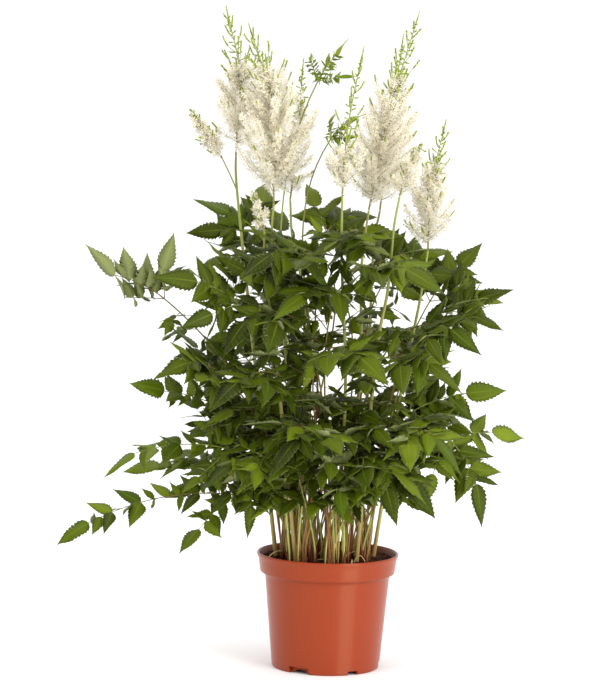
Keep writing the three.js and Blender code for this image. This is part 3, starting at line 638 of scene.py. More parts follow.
def material_nodes(name):
    return Nodes(bpy.data.materials.new(name))


def rgb(*screen):
    """A colour given by its look on screen, 0 to 255, as linear light."""
    shares = [value / 255 for value in screen]
    linear = [share / 12.92 if share < 0.039 else ((share + 0.055) / 1.055) ** 2.4 for share in shares]
    return (*linear, 1.0)


def blade_material():
    n = material_nodes("leaf_blade")
    lane, across, upper = n.number("lane"), n.number("across"), n.number("upper")
    tone, fresh = n.number("tone"), n.number("fresh")
    cloudy = n.grain(38.0, 4.0)
    dark = n.mix(tone, rgb(21, 28, 0), rgb(58, 68, 0))
    young = n.mix(tone, rgb(92, 116, 8), rgb(136, 154, 30))
    green = n.mix(fresh, dark, young)
    green = n.mix(n.spread(cloudy, 0.35, 0.7, 0.0, 0.35), green, rgb(70, 86, 8))
    side_vein = n.spread(n.math("PINGPONG", lane, 0.5), 0.0, 0.08, 1.0, 0.0)
    rib = n.spread(across, 0.0, 0.09, 1.0, 0.0)
    veins = n.math("MAXIMUM", n.math("MULTIPLY", side_vein, 0.5), rib)
    top = n.mix(n.math("MULTIPLY", veins, 0.45), green, rgb(112, 132, 40))
    pale = n.mix(tone, rgb(104, 114, 60), rgb(142, 148, 98))
    under = n.mix(n.math("MULTIPLY", veins, 0.4), pale, rgb(158, 166, 104))
    facing = n.spread(upper, 0.5, 0.62)
    relief = n.math("ADD", n.math("MULTIPLY", veins, -0.6), n.math("MULTIPLY", cloudy, 0.5))
    n.bump(relief, 0.5, 0.0006)
    rough = n.spread(facing, 0.0, 1.0, 0.75, 0.46)
    return n.finish(
        n.mix(facing, under, top), rough, Specular_IOR_Level=0.2, Specular_Tint=(0.95, 1.0, 0.55, 1.0),
    )


def streaked(n, color, other, most):
    """A stalk's colour with streaks of another one along it, and their relief."""
    streaks = n.grain(90.0, 3.0, (1, 1, 0.06))
    n.bump(streaks, 0.2, 0.0004)
    return n.mix(n.spread(streaks, 0.4, 0.7, 0.0, most), color, other)


def stalk_material(name, foot, low, high):
    n = material_nodes(name)
    color = n.ramp(n.number("along"), (0.0, 0.16, 0.6, 1.0), (foot, low, high, high))
    color = streaked(n, color, foot, 0.4)
    return n.finish(n.mix(n.math("MULTIPLY", n.number("tone"), 0.45), color, foot), 0.48)


def petiole_material():
    n = material_nodes("petiole")
    along, places = n.number("along"), (0.0, 0.12, 0.5, 1.0)
    pale = (rgb(196, 178, 110), rgb(204, 206, 112), rgb(160, 174, 74), rgb(112, 122, 48))
    red = (rgb(112, 44, 30), rgb(150, 96, 54), rgb(128, 104, 50), rgb(98, 88, 42))
    redness = n.spread(n.number("tone"), 0.4, 0.8)
    color = n.mix(redness, n.ramp(along, places, pale), n.ramp(along, places, red))
    return n.finish(streaked(n, color, rgb(126, 84, 46), 0.25), 0.5, Specular_IOR_Level=0.3)


def sheath_material():
    n = material_nodes("leaf_sheath")
    streaks = n.grain(160.0, 4.0, (1, 1, 0.1))
    n.bump(streaks, 0.5, 0.0006)
    color = n.mix(n.spread(streaks, 0.35, 0.65), rgb(84, 30, 22), rgb(146, 84, 50))
    return n.finish(color, 0.8, Specular_IOR_Level=0.15)


def floret_material():
    n = material_nodes("floret")
    ripe, tone, outer = n.number("ripe"), n.number("tone"), n.number("outer")
    cream = n.mix(tone, rgb(254, 248, 228), rgb(250, 240, 210))
    # Painted shade: florets near the foot of their spray, deep inside the branch, are mixed up to 40 %
    # towards a darker, yellower cream.
    cream = n.mix(n.spread(outer, 0.2, 0.7, 0.4, 0.0), cream, rgb(246, 230, 186))
    bud = n.mix(tone, rgb(104, 124, 26), rgb(154, 166, 66))
    color = n.mix(n.spread(ripe, 0.35, 0.65), bud, cream)
    return n.finish(
        color, 0.7, Specular_IOR_Level=0.2, Subsurface_Weight=0.85, Subsurface_Radius=(1.0, 0.9, 0.75),
        Subsurface_Scale=0.003,
    )


# ---------- Leaves ----------


def leaf_skeleton(leaf, shift, draws):
    fork_at, tip_at, leaflet_length, _, _, tilt, _ = leaf
    depth = np.array((0.0, shift, 0.0))
    fork, leaf_tip = np.array(fork_at) + depth, np.array(tip_at) + depth
    leaf_reach = np.linalg.norm(leaf_tip - fork)
    chord = unit(leaf_tip - fork)
    tip = leaf_tip - chord * LEAF_END_SHARE * leaflet_length
    reach = np.linalg.norm(tip - fork)
    start = unit(chord + UP * LEAF_LIFT)
    normal = square_to(start, np.array((0, -math.sin(math.radians(tilt)), math.cos(math.radians(tilt)))))
    across = np.cross(normal, start)
    spread = STALK_SPREAD * lerp(-1, 1, draws.next())
    angle = math.atan2(fork[1], fork[0]) + spread + STALK_TURN_PER_SHIFT * shift
    radius = lerp(*STALK_RADII, math.sqrt(draws.next()))
    outward = level_way(angle)
    foot = outward * radius + UP * lerp(SOIL_CROWN, SOIL_EDGE, radius / SOIL_RADIUS)
    lean = unit(outward * STALK_LEAN + UP)
    rise = np.linalg.norm(fork - foot)
    low, high = foot + lean * STALK_FOOT_REACH * rise, fork - start * STALK_FORK_REACH * rise
    stalk = bezier(foot, low, high, fork)
    middle = bezier(fork, fork + start * reach / 2, tip)
    side_length = min(leaf_reach * SIDE_SHARE, SIDE_LONGEST)
    sides = []
    for sign in (1, -1):
        way = between(start, across, math.radians(sign * SIDE_ANGLE))
        sides.append(arched(fork, way, side_length, normal * SIDE_DROOP * side_length))
    return {"stalk": stalk, "middle": middle, "sides": sides, "normal": normal, "across": across}


def packed_skeleton(node, index):
    """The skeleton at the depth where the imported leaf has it, and the draws that follow it."""
    packed = Packed(node)
    for shift in DEPTH_SHIFTS:
        draws = Draws(LEAF_SEED + index)
        skeleton = leaf_skeleton(LEAVES[node], shift, draws)
        curve = skeleton["middle"]
        forward = curve.tangent(1)
        left = square_to(forward, skeleton["across"])
        up = np.cross(forward, left)
        corners = [left + up, left - up, up - left, -left - up]
        if packed.has(*(curve.point(1) + corner * MIDDLE_END_HALF for corner in corners)):
            return skeleton, draws
    raise RuntimeError(node + " is not where its rule says")


class Leaflet:
    """The foot, the way, the upper side and the length of one leaflet."""

    def __init__(self, base, along, normal, length):
        self.base, self.along, self.normal, self.length = base, along, normal, length
        self.side = np.cross(normal, along)

    def at(self, share, across, lift=0.0):
        """Points on the leaflet, by share of its length and of its half width."""
        half_width = LEAFLET_HALF_WIDTH * self.length
        share, across, lift = (np.asarray(v, float)[..., None] for v in (share, across, lift))
        height = LEAFLET_FOLD * half_width * abs(across) - LEAFLET_DROOP * self.length * share ** 2
        flat = self.base + self.along * self.length * share + self.side * half_width * across
        return flat + self.normal * (height + lift)


def leaflet_on(curve, row, normal, dip=0.0, turn=0.0, size=1.0):
    """The leaflet at a place on a branch, turned from the branch by its angle, pitch and twist."""
    share, length, angle, pitch, twist = row
    forward = curve.tangent(share)
    up = square_to(forward, normal)
    outward = between(forward, np.cross(up, forward), angle)
    pitch, twist = pitch + dip, twist + turn
    along = between(outward, up, -pitch)
    face = spun(between(up, outward, pitch), along, twist)
    return Leaflet(curve.point(share), along, face, length * size)


def pair_places(pairs):
    """Places of the large leaflet pairs, which the solids hold, along a branch."""
    return [(pair + 0.1) / (pairs + 0.9) for pair in range(1, pairs + 1)]


def places_between(pairs):
    """Places along a branch between its foot, its large leaflet pairs and its end."""
    taken = [0.0, *pair_places(pairs), 1.0]
    return [(a + b) / 2 for a, b in zip(taken, taken[1:])]


def leaflet_rows(pairs, length, rise, draws):
    """The leaflets of a branch as the solids draw them: place, length, angle, pitch and twist."""
    rows = [(1.0, 0, END_SCALE)]
    for share in pair_places(pairs):
        rows += [(share, LEAFLET_ANGLE, PAIR_SCALE), (share, -LEAFLET_ANGLE, PAIR_SCALE)]
    drawn = []
    for share, angle, scale in rows:
        size = length * scale * draws.within(LENGTH_RANGE)
        turn = math.radians(angle + draws.within(ANGLE_RANGE))
        pitch = math.radians(LEAFLET_PITCH - rise + draws.within(PITCH_RANGE))
        twist = math.radians(draws.within(TWIST_RANGE))
        drawn.append((share, size, turn, pitch, twist))
    return drawn


def packed_leaflet(curve, row, normal, packed):
    """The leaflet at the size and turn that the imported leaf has, or None where it has none."""
    for size in LEAFLET_SIZES:
        for turn, dip in LEAFLET_TURNS:
            leaflet = leaflet_on(curve, row, normal, math.radians(dip), math.radians(turn), size)
            ribs = [leaflet.at(RIB_SHARE, 0, side * LEAFLET_THICKNESS / 2) for side in (1, -1)]
            if packed.has(leaflet.at(1, 0), *ribs):
                return leaflet
    return None


def blade_width(share):
    """Half the width of a smooth blade, as a share of its widest."""
    return share ** BLADE_SWELL * (1 - share) ** BLADE_TAPER / BLADE_PEAK


def blade_stations(teeth):
    """Along a blade: share of its length, count of teeth so far, and how far out its edge is."""
    stations = [(0.0, 0.0, 1.0), (0.02, 0.0, 1.0)]
    for tooth in range(teeth):
        depth = TOOTH_DEPTH * (1 if tooth % 2 else SMALL_TOOTH_SHARE)
        for place, out in TOOTH:
            share = lerp(*TOOTHED, (tooth + place) / teeth)
            stations.append((share, tooth + place + 1 - TOOTH[-1][0], 1 + depth * (out - 0.5)))
    return [np.array(column)[:, None] for column in zip(*stations)]


def blade_lift(share, lane, across, level, length, look):
    """Height over a leaflet's plane, from the blade's thickness, pleats, drooping edges and wave."""
    is_edge, is_middle = abs(across) == 1, across == 0
    body = np.minimum(1, blade_width(share) * 2)
    lift = level * BLADE_HALF_THICKNESS * np.where(is_middle, BLADE_RIB, 1.0)
    lift = lift - PLEAT * np.cos(2 * np.pi * lane) * body * np.where(is_edge | is_middle, 0, 1)
    lift = lift - EDGE_DROOP * length * across ** 2 * body
    wave, turns, phase = look.uniform(-BLADE_WAVE, BLADE_WAVE), look.uniform(*WAVE_TURNS), look.uniform(0, 6)
    return lift + wave * body * across * np.sin(share * turns + phase)


def add_blade(shape, leaflet, teeth, look, fresh, width):
    """A toothed blade, pleated along its side veins, and closed underneath."""
    share, lane, edge = blade_stations(teeth)
    across, level = (np.array(column)[None, :] for column in zip(*BLADE_RING))
    half = blade_width(share) * width * look.uniform(*BLADE_WIDTHS) * np.where(abs(across) == 1, edge, 1)
    half = np.maximum(half, NECK_HALF / (LEAFLET_HALF_WIDTH * leaflet.length))
    slanted = share - VEIN_SLANT * (1 - abs(across)) * np.sin(np.pi * share) * (share > 0.03)
    lift = blade_lift(share, lane, across, level, leaflet.length, look)
    rings = leaflet.at(slanted, across * half, lift)
    foot, tip = leaflet.at(-0.01, 0), leaflet.at(1.0, 0)
    sides, every = len(BLADE_RING), np.ones_like(share)
    shape.add(
        np.concatenate([rings.reshape(-1, 3), [foot, tip]]), ring_faces(len(share), sides), 0,
        lane=np.append(np.repeat(lane, sides), [0, teeth]), across=np.append(every * abs(across), [0, 0]),
        upper=np.append(every * (level + 1) / 2, [1, 1]), tone=look.uniform(0, 1),
        fresh=np.clip(fresh + look.normal(0, FRESH_JITTER), 0, 1),
    )


def add_blades(shape, leaflets, teeth, look, fresh, width=1.0):
    for leaflet in leaflets:
        add_blade(shape, leaflet, teeth, look, fresh, width)


def small_leaflets(curve, places, sizes, length, normal, look, rise=0):
    """Pairs of small leaflets at places along a branch."""
    for place in places:
        for side in (1, -1):
            size = length * look.uniform(*sizes)
            angle = math.radians(side * look.uniform(*SMALL_ANGLES))
            pitch = math.radians(look.uniform(*SMALL_PITCHES) - rise)
            twist = math.radians(look.uniform(*SMALL_TWISTS))
            share = min(1.0, place + look.uniform(-0.04, 0.04))
            yield leaflet_on(curve, (share, size, angle, pitch, twist), normal)


def end_leaflet(curve, length, normal, pitches, twist, look):
    """The leaflet at a branch's end, with a span for its pitch and a most for its twist."""
    row = (1.0, length, 0.0, look.uniform(*pitches), look.uniform(-twist, twist))
    return leaflet_on(curve, row, normal)


def sprigs(stalk, length, look):
    """Short side branches of a leaf's stalk below its fork, each with leaflets of its own."""
    step = SPRIG_STEP / np.linalg.norm(stalk.point(1) - stalk.point(0))
    for place in np.arange(SPRIG_TOP, 0.1, -step):
        start, forward = stalk.point(place), stalk.tangent(place)
        if start[2] < SPRIG_LOWEST:
            return
        azimuth = math.atan2(start[1], start[0]) + look.uniform(-SPRIG_TURN, SPRIG_TURN)
        outward = square_to(forward, level_way(azimuth))
        way = between(outward, forward, math.radians(look.uniform(*SPRIG_ELEVATIONS)))
        reach = look.uniform(*SPRIG_LENGTHS)
        curve = arched(start, way, reach, UP * reach * SPRIG_DROOP)
        normal = square_to(way, UP + np.array((0, look.uniform(-1.1, 0.1), 0)))
        size = length * look.uniform(*SPRIG_LEAFLETS)
        end = end_leaflet(curve, size * 1.1, normal, (-0.2, 0.5), 0.5, look)
        yield curve, [end, *small_leaflets(curve, (0.5, 0.8), SPRIG_PAIR_SIZES, size, normal, look)]


def under_leaf(foot, places, look):
    """A small leaf beside a large one: its stalk, its middle branch and its leaflets."""
    outward = level_way(math.atan2(foot[1], foot[0]) + look.uniform(-UNDER_TURN, UNDER_TURN))
    foot = foot + np.cross(UP, outward) * look.choice((-1, 1)) * look.uniform(*UNDER_GAPS)
    fork = outward * look.uniform(*UNDER_RADII)
    fork[2] = SOIL_CROWN + look.uniform(*UNDER_HEIGHTS)
    rise = UP * (fork[2] - foot[2])
    way = unit(outward + UP * look.uniform(-0.1, 0.5))
    stalk = bezier(foot, foot + rise * 0.4 + outward * 4, fork - rise * 0.25 - way * 10, fork)
    branch = arched(fork, way, UNDER_REACH, UP * UNDER_DROOP)
    normal = square_to(way, UP + np.array((0, -look.uniform(0.1, 0.8), 0)))
    end = end_leaflet(branch, UNDER_LEAFLET, normal, (0, 0.5), 0.4, look)
    return stalk, branch, [end, *small_leaflets(branch, places, UNDER_SIZES, UNDER_LEAFLET, normal, look)]


def add_under_leaves(shape, foot, fresh, look):
    for places in UNDER_PAIRS:
        stalk, branch, leaflets = under_leaf(foot, places, look)
        red = look.uniform(0.2, 1.0)
        path = stalk.points(16)
        path[0] -= UP * ROOT_DEPTH
        add_stalk(shape, path, UNDER_STALK_RADII, (0, 1), red, sides=6)
        add_stalk(shape, branch.points(7), UNDER_BRANCH_RADII, (0.8, 1), red, sides=5)
        add_blades(shape, leaflets, SMALL_TEETH, look, fresh + 0.1)


def add_sheaths(shape, foot, look):
    """Short reddish sheaths that stand round the foot of a leaf."""
    for _ in range(SHEATHS):
        out = level_way(look.uniform(0, 2 * math.pi))
        start = foot + out * SHEATH_FOOT[0] - UP * SHEATH_FOOT[1]
        height = UP * look.uniform(*SHEATH_LENGTHS)
        curve = bezier(start, start + height / 2 + out * 1.5, start + height + out * look.uniform(0, 5))
        radii = np.array(SHEATH_RADII) * look.uniform(*SHEATH_SIZES)
        add_stalk(shape, curve.points(len(radii)), radii, 0, 1.0, 2, 5)


def add_leaf_branches(shape, node, skeleton, draws, red, look):
    """The middle branch and the two side branches of a leaf, with large and small leaflets."""
    _, _, length, pairs, side_pairs, _, fresh = LEAVES[node]
    packed, normal = Packed(node), skeleton["normal"]
    young, rise = node in YOUNG_LEAVES, LEAFLET_RISES.get(node, 0)
    width, sizes = (YOUNG_BLADE, YOUNG_SIZES) if young else (1.0, SMALL_SIZES)
    branches = [(skeleton["middle"], pairs, length, RACHIS_RADII)]
    branches += [(curve, side_pairs, length * SIDE_SCALE, SIDE_RACHIS_RADII) for curve in skeleton["sides"]]
    for curve, count, size, radii in branches:
        add_stalk(shape, curve.points(12), radii, (0.75, 1), red)
        rows = leaflet_rows(count, size, rise, draws)
        large = filter(None, (packed_leaflet(curve, row, normal, packed) for row in rows))
        add_blades(shape, large, TEETH, look, fresh, width)
        places = np.linspace(0.1, 0.96, YOUNG_PAIRS) if young else places_between(count)
        small = small_leaflets(curve, places, sizes, size, normal, look, rise)
        add_blades(shape, small, SMALL_TEETH, look, fresh, width)


def grow_leaf(node, index, materials):
    skeleton, draws = packed_skeleton(node, index)
    look = np.random.default_rng(LEAF_LOOKS + index)
    _, _, length, _, _, _, fresh = LEAVES[node]
    shape = Shape("lane", "across", "upper", "tone", "fresh", "along")
    stalk, red = skeleton["stalk"], look.uniform(0.0, 1.0)
    path = stalk.rooted_points(26)
    add_stalk(shape, path, flared(PETIOLE_RADII, PETIOLE_FLARE, len(path)), (0, 1), red)
    add_sheaths(shape, stalk.point(0), look)
    add_leaf_branches(shape, node, skeleton, draws, red, look)
    if node not in YOUNG_LEAVES:
        for curve, leaflets in sprigs(stalk, length, look):
            add_stalk(shape, curve.points(7), SPRIG_RADII, (0.8, 1), red, sides=5)
            add_blades(shape, leaflets, SMALL_TEETH, look, fresh)
    add_under_leaves(shape, stalk.point(0), fresh, look)
    make_piece(node + "_fine", shape, materials, [node])


# ---------- Plumes ----------


def branch_reach(share):
    """How long a branch is beside the plume's longest, by its place between foot and tip."""
    return min(1, 0.62 + 2.2 * share) * (1 - share) ** 0.85 + 0.1


def core_ring(curve, share, azimuth, radius):
    """The three corners that the solids give a plume's stalk at one height."""
    forward = curve.tangent(share)
    across = square_to(forward, level_way(azimuth))
    up = np.cross(forward, across)
    angles = [thirds * math.pi / 3 for thirds in (-1, 1, 3)]
    return [curve.point(share) + between(across, up, angle) * radius for angle in angles]


def plume_branches(node, index):
    """The plume's middle curve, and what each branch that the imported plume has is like."""
    packed = Packed(node)
    corners, reach, radius, count, _ = PLUMES[node]
    curve = curve_through(corners)
    draws = Draws(PLUME_SEED + index)
    step = (LAST_BRANCH - FIRST_BRANCH) / count
    shares = [FIRST_BRANCH + step * ring for ring in range(count + 1)]
    rings = [
        core_ring(curve, share, math.radians((GOLDEN_ANGLE - 120) * ring + PLANT_TURN * index),
                  lerp(CORE_FOOT_RADIUS, CORE_TOP_RADIUS, share))
        for ring, share in enumerate(shares)
    ]
    found = []
    for branch in range(count):
        share = shares[branch] + step / 2
        side = branch % 3
        low = [rings[branch][side], rings[branch][(side + 1) % 3]]
        start, forward = (low[0] + low[1] + rings[branch + 1][side]) / 3, curve.tangent(share)
        outward = square_to(forward, (low[0] + low[1]) / 2 - curve.point(share))
        elevation = math.radians(lerp(LOW_ELEVATION, HIGH_ELEVATION, share))
        size = draws.within(BRANCH_LENGTHS)
        for turn, scale in BRANCH_TRIES:
            direction = between(spun(outward, forward, math.radians(turn)), forward, elevation)
            length = reach * branch_reach(share) * size * scale
            if packed.has(start + direction * length):
                found.append((share, start, direction, length, radius * lerp(1, TOP_BRANCH_RADIUS, share)))
                break
    return curve, found


def turned_out(curve, share, azimuth, elevation):
    """The direction of a twig that leaves a plume's stalk, by its angles in degrees."""
    forward = curve.tangent(share)
    outward = square_to(forward, level_way(math.radians(azimuth)))
    return between(outward, forward, math.radians(elevation))


def fill_branches(node, index, curve, rng):
    """Shorter branches that fill a plume between those of the solids, up to its green top."""
    _, reach, radius, count, green_from = PLUMES[node]
    top = min(LAST_BRANCH, green_from)
    total = int(count * FILL_PER_BRANCH * top)
    for k in range(total):
        share = lerp(FIRST_BRANCH, top, (k + 0.5) / total) + rng.normal(0, 0.004)
        elevation = lerp(LOW_ELEVATION, HIGH_ELEVATION, share) + rng.normal(0, ELEVATION_JITTER)
        direction = turned_out(curve, share, GOLDEN_ANGLE * k + 60 + 57 * index, elevation)
        length = reach * branch_reach(share) * rng.uniform(*FILL_LENGTHS)
        yield share, curve.point(share), direction, length, radius * lerp(0.95, TOP_BRANCH_RADIUS, share)


def green_twigs(node, curve, rng):
    """Short twigs all round the green top of a plume, shorter towards its tip."""
    green_from = PLUMES[node][4]
    height = np.linalg.norm(curve.point(1) - curve.point(0))
    lowest = green_from - TWIG_START
    share, azimuth = lowest, rng.uniform(0, 360)
    while share < 1 - 0.6 * TIP_RODS[0] / height:
        up = smooth_step(lowest, 1, share)
        length = lerp(*TWIG_LENGTHS, up) * rng.uniform(0.75, 1.15)
        elevation = lerp(*TWIG_ELEVATIONS, up) + rng.normal(0, ELEVATION_JITTER)
        yield curve.point(share), turned_out(curve, share, azimuth, elevation), length
        azimuth += GOLDEN_ANGLE
        share += TWIG_STEP / height


def petal_floret():
    """Narrow cupped petals, each a thin closed wedge, looking along +Z."""
    points, faces = [], []
    for petal in range(PETALS):
        out, first = level_way(2 * math.pi / PETALS * petal), len(points)
        points += [out * reach + np.cross(UP, out) * spread + UP * height for reach, spread, height in PETAL]
        faces += [(first, first + 2, first + 1), (first + 3, first + 1, first + 2)]
        faces += [(first, first + 3, first + 2), (first, first + 1, first + 3)]
    return np.array(points), np.array(faces)


def round_bud():
    """A bud of eight faces, a little longer towards +Z."""
    points = [(1, 0, 0), (0, 1, 0), (-1, 0, 0), (0, -1, 0), (0, 0, 1.3), (0, 0, -1.0)]
    faces = []
    for s in range(4):
        faces += [(s, (s + 1) % 4, 4), ((s + 1) % 4, s, 5)]
    return np.array(points, float), np.array(faces)


PETAL_FLORET = petal_floret()
ROUND_BUD = round_bud()


def add_copies(shape, template, places, directions, sizes, spin, **numbers):
    """Copies of a small template, each turned to look along its own direction."""
    if not len(places):
        return
    points, faces = template
    forward = directions / np.linalg.norm(directions, axis=1)[:, None]
    helper = np.where(abs(forward[:, 2:]) < 0.9, (0.0, 0.0, 1.0), (1.0, 0.0, 0.0))
    side = np.cross(helper, forward)
    side /= np.linalg.norm(side, axis=1)[:, None]
    other = np.cross(forward, side)
    cos, sin = np.cos(spin)[:, None], np.sin(spin)[:, None]
    side, other = side * cos + other * sin, other * cos - side * sin
    turn = np.stack([side, other, forward], axis=1)
    copies = places[:, None, :] + sizes[:, None, None] * (points @ turn)
    count, size = len(places), len(points)
    all_faces = (faces[None] + (np.arange(count) * size)[:, None, None]).reshape(-1, 3)
    per_point = {name: np.repeat(values, size) for name, values in numbers.items()}
    shape.add(copies.reshape(-1, 3), all_faces, 0, **per_point)


class Sprays:
    """Places, directions and looks of florets and buds, gathered branch by branch."""

    def __init__(self, rng):
        self.rng = rng
        self.rows = {"open": [], "bud": []}

    def add(self, path, direction, shares, radii, kind, per_spray, sizes=1.0):
        """Fine side stalks at shares of a branch's path, each set with florets along it."""
        rng, count = self.rng, len(shares)
        if not count:
            return
        side = square_to(direction, np.array((0.35, 0.85, 0.4)))
        other = np.cross(direction, side)
        angle = np.radians(GOLDEN_ANGLE) * np.arange(count) + rng.normal(0, 0.3, count) + rng.uniform(0, 6)
        out = np.cos(angle)[:, None] * side + np.sin(angle)[:, None] * other
        lean = math.radians(SPRAY_ANGLE)
        way = out * math.cos(lean) + direction * math.sin(lean)
        along = SPRAY_FOOT + (1 - SPRAY_FOOT) * (np.arange(per_spray) + 0.75) / per_spray
        at = path(shares)[:, None, :] + way[:, None, :] * (radii[:, None] * along)[:, :, None]
        at = at + rng.normal(0, SCATTER[kind], at.shape)
        facing = way[:, None, :] + rng.normal(0, 0.45, at.shape)
        # How far out along its spray each floret sits; the floret material paints shade on the inner ones
        # from this.
        outer = np.broadcast_to(along, at.shape[:2])
        sizes = np.repeat(np.broadcast_to(sizes, count), per_spray)
        self.rows[kind].append((at.reshape(-1, 3), facing.reshape(-1, 3), outer.ravel(), sizes))

    def add_buds(self, path, direction, shares, sizes=1.0):
        """One bud at each share of a path, close beside it."""
        self.add(path, direction, shares, np.full(len(shares), BUD_REACH), "bud", 1, sizes)

    def put(self, shape, kind, template, size, ripe):
        """Gives the shape all that was gathered of one kind, as copies of a template."""
        if not self.rows[kind]:
            return
        places, directions, outer, sizes = (np.concatenate(column) for column in zip(*self.rows[kind]))
        count, rng = len(places), self.rng
        add_copies(
            shape, template, places, directions, size * sizes * rng.uniform(0.85, 1.15, count),
            rng.uniform(0, 2 * math.pi, count), ripe=ripe + rng.uniform(-0.2, 0.2, count),
            tone=rng.uniform(0, 1, count), outer=outer,
        )


def open_share(height, green_from):
    """How far out along a branch the florets are open, by the branch's height in the plume."""
    return OPEN_MOST - (height / green_from) ** 4


def bent_path(start, reach, bend):
    """What gives points on a bent branch by their shares of its length."""
    return lambda shares: start + np.outer(shares, reach) - np.outer(np.sin(np.pi * shares), bend)


def add_branch(shape, sprays, branch, green_from, rng):
    """A plume's branch, with sprays of open florets and a chain of buds at its end."""
    height, start, direction, length, radius = branch
    bend = square_to(direction, UP) * length * rng.uniform(0.0, BRANCH_BEND)
    path = bent_path(start, direction * length, bend)
    add_stalk(shape, path(np.linspace(0, 1, 7)), PLUME_BRANCH_RADII, height, 0.2, sides=5)
    limit = open_share(height, green_from) + rng.normal(0, 0.05)
    limit = min(limit, 1 - rng.uniform(-0.9, 1.0) * BUD_CHAIN / length)
    shares = (np.arange(int(length / SPRAY_STEP)) + 0.8) * SPRAY_STEP / length
    shares = shares[shares < limit]
    radii = radius * (1.15 - 0.75 * shares) * rng.uniform(0.7, 1.12, len(shares))
    sprays.add(path, direction, shares, radii, "open", FLORETS_PER_SPRAY)
    first_bud = max(limit * length, length - BUD_CHAIN * 1.2)
    sprays.add_buds(path, direction, np.arange(first_bud, length, BUD_STEP) / length)


def add_twig(shape, sprays, twig):
    """A twig of a plume's green top, with buds all along."""
    start, direction, length = twig
    path = bent_path(start, direction * length, 0 * UP)
    add_stalk(shape, path(np.linspace(0, 1, 4)), PLUME_TWIG_RADII, 1, 0.2, sides=4)
    first_bud = min(0.35 * length, length - 3)
    sprays.add_buds(path, direction, np.arange(first_bud, length, BUD_STEP) / length, TWIG_BUD_SIZE)


def add_tip(sprays, curve):
    """The chain of buds at the tip of a plume, which nods a little."""
    height = np.linalg.norm(curve.point(1) - curve.point(0))
    beyond = np.arange(-TIP_RODS[0], TIP_RODS[1] if height > SHORT_PLUME else 0, BUD_STEP * 0.8)

    def path(beyond):
        """Points at distances beyond the middle curve's end, or below it."""
        below = np.array([curve.point(1 + min(0, far) / height) for far in beyond])
        ahead = np.maximum(beyond, 0)[:, None]
        return below + ahead * curve.tangent(1) - ahead ** 2 * TIP_NOD * UP

    sprays.add_buds(path, curve.tangent(0.95), beyond, np.linspace(*TIP_BUD_SIZES, len(beyond)))


def grow_plume(node, index, materials):
    rng = np.random.default_rng(PLUME_LOOKS + index)
    curve, branches = plume_branches(node, index)
    green_from = PLUMES[node][4]
    shape, sprays = Shape("ripe", "tone", "outer", "along"), Sprays(rng)
    add_stalk(shape, curve.points(24), PLUME_STALK_RADII, (0, 1), 0.2)
    for branch in [*branches, *fill_branches(node, index, curve, rng)]:
        add_branch(shape, sprays, branch, green_from, rng)
    for twig in green_twigs(node, curve, rng):
        add_twig(shape, sprays, twig)
    add_tip(sprays, curve)
    sprays.put(shape, "open", PETAL_FLORET, FLORET_SIZE, 1.0)
    sprays.put(shape, "bud", ROUND_BUD, BUD_SIZE, 0.0)
    make_piece(node + "_fine", shape, materials, [node], smooth=False)


# ---------- Flower stems ----------


def grow_stem(node, index, material):
    rng = np.random.default_rng(STEM_LOOKS + index)
    shape = Shape("along", "tone")
    curve = curve_through(STALKS[node])
    path, tone = curve.rooted_points(40), rng.uniform(0, 0.3)
    add_stalk(shape, path, flared(STEM_RADII, STEM_FLARE, len(path)), (0, 1), tone, 0, 10)
    if node in SIDE_BRANCHES:
        place, corners = SIDE_BRANCHES[node]
        side = curve_through([curve.point(place), *corners])
        add_stalk(shape, side.points(12), SIDE_STEM_RADII, 1, tone, 0)
    make_piece(node + "_fine", shape, [material], [node])


# ---------- Pot and soil ----------


def pot_profile():
    base, body, collar, lip = BASE_RADIUS, BODY_TOP_RADIUS, COLLAR_RADIUS, LIP_RADIUS
    foot, top = COLLAR_FOOT, POT_HEIGHT
    inside = RAISED_UNDERSIDE + POT_WALL
    return [
        # underside and foot ring
        (0, RAISED_UNDERSIDE), (base - 7, RAISED_UNDERSIDE), (base - 6, 0.4), (base - 5, 0),
        (base - 2.4, 0), (base - 1.0, 0.6), (base - 0.3, 2.0), (base + 0.1, 4.5),
        # tapering body and the step to the collar
        (body - 0.3, foot - 5.5), (body + 0.2, foot - 3.4), (body + 1.6, foot - 2.1),
        (collar - 3.6, foot - 1.0), (collar - 2.4, foot - 0.2), (collar - 1.8, foot + 1.4),
        # collar and lip
        (collar - 1.4, foot + 4), (collar - 0.3, top - 11), (collar, top - 8.5),
        (collar + 0.6, top - 6.2), (lip - 0.8, top - 4.2), (lip - 0.2, top - 2.8), (lip, top - 1.5),
        (lip - 0.3, top - 0.5), (lip - 1.0, top), (lip - 2.1, top - 0.1), (lip - 2.7, top - 0.8),
        # inside
        (lip - 3.3, top - 3.6), (collar - 2.0, top - 8), (collar - 4, foot + 2),
        (body - POT_WALL, foot - 4), (base - POT_WALL, inside), (0, inside),
    ]


def turned_shape(profile, sides):
    """A closed body turned round the upright axis. A height of None stands for the soil's top."""
    points = []
    for radius, z in profile[1:-1]:
        for s in range(sides):
            turn = 2 * math.pi * s / sides
            points.append((radius * math.cos(turn), radius * math.sin(turn), z))
    points += [(0, 0, profile[0][1]), (0, 0, profile[-1][1])]
    points = [(x, y, soil_top(x, y) if z is None else z) for x, y, z in points]
    return points, ring_faces(len(profile) - 2, sides)


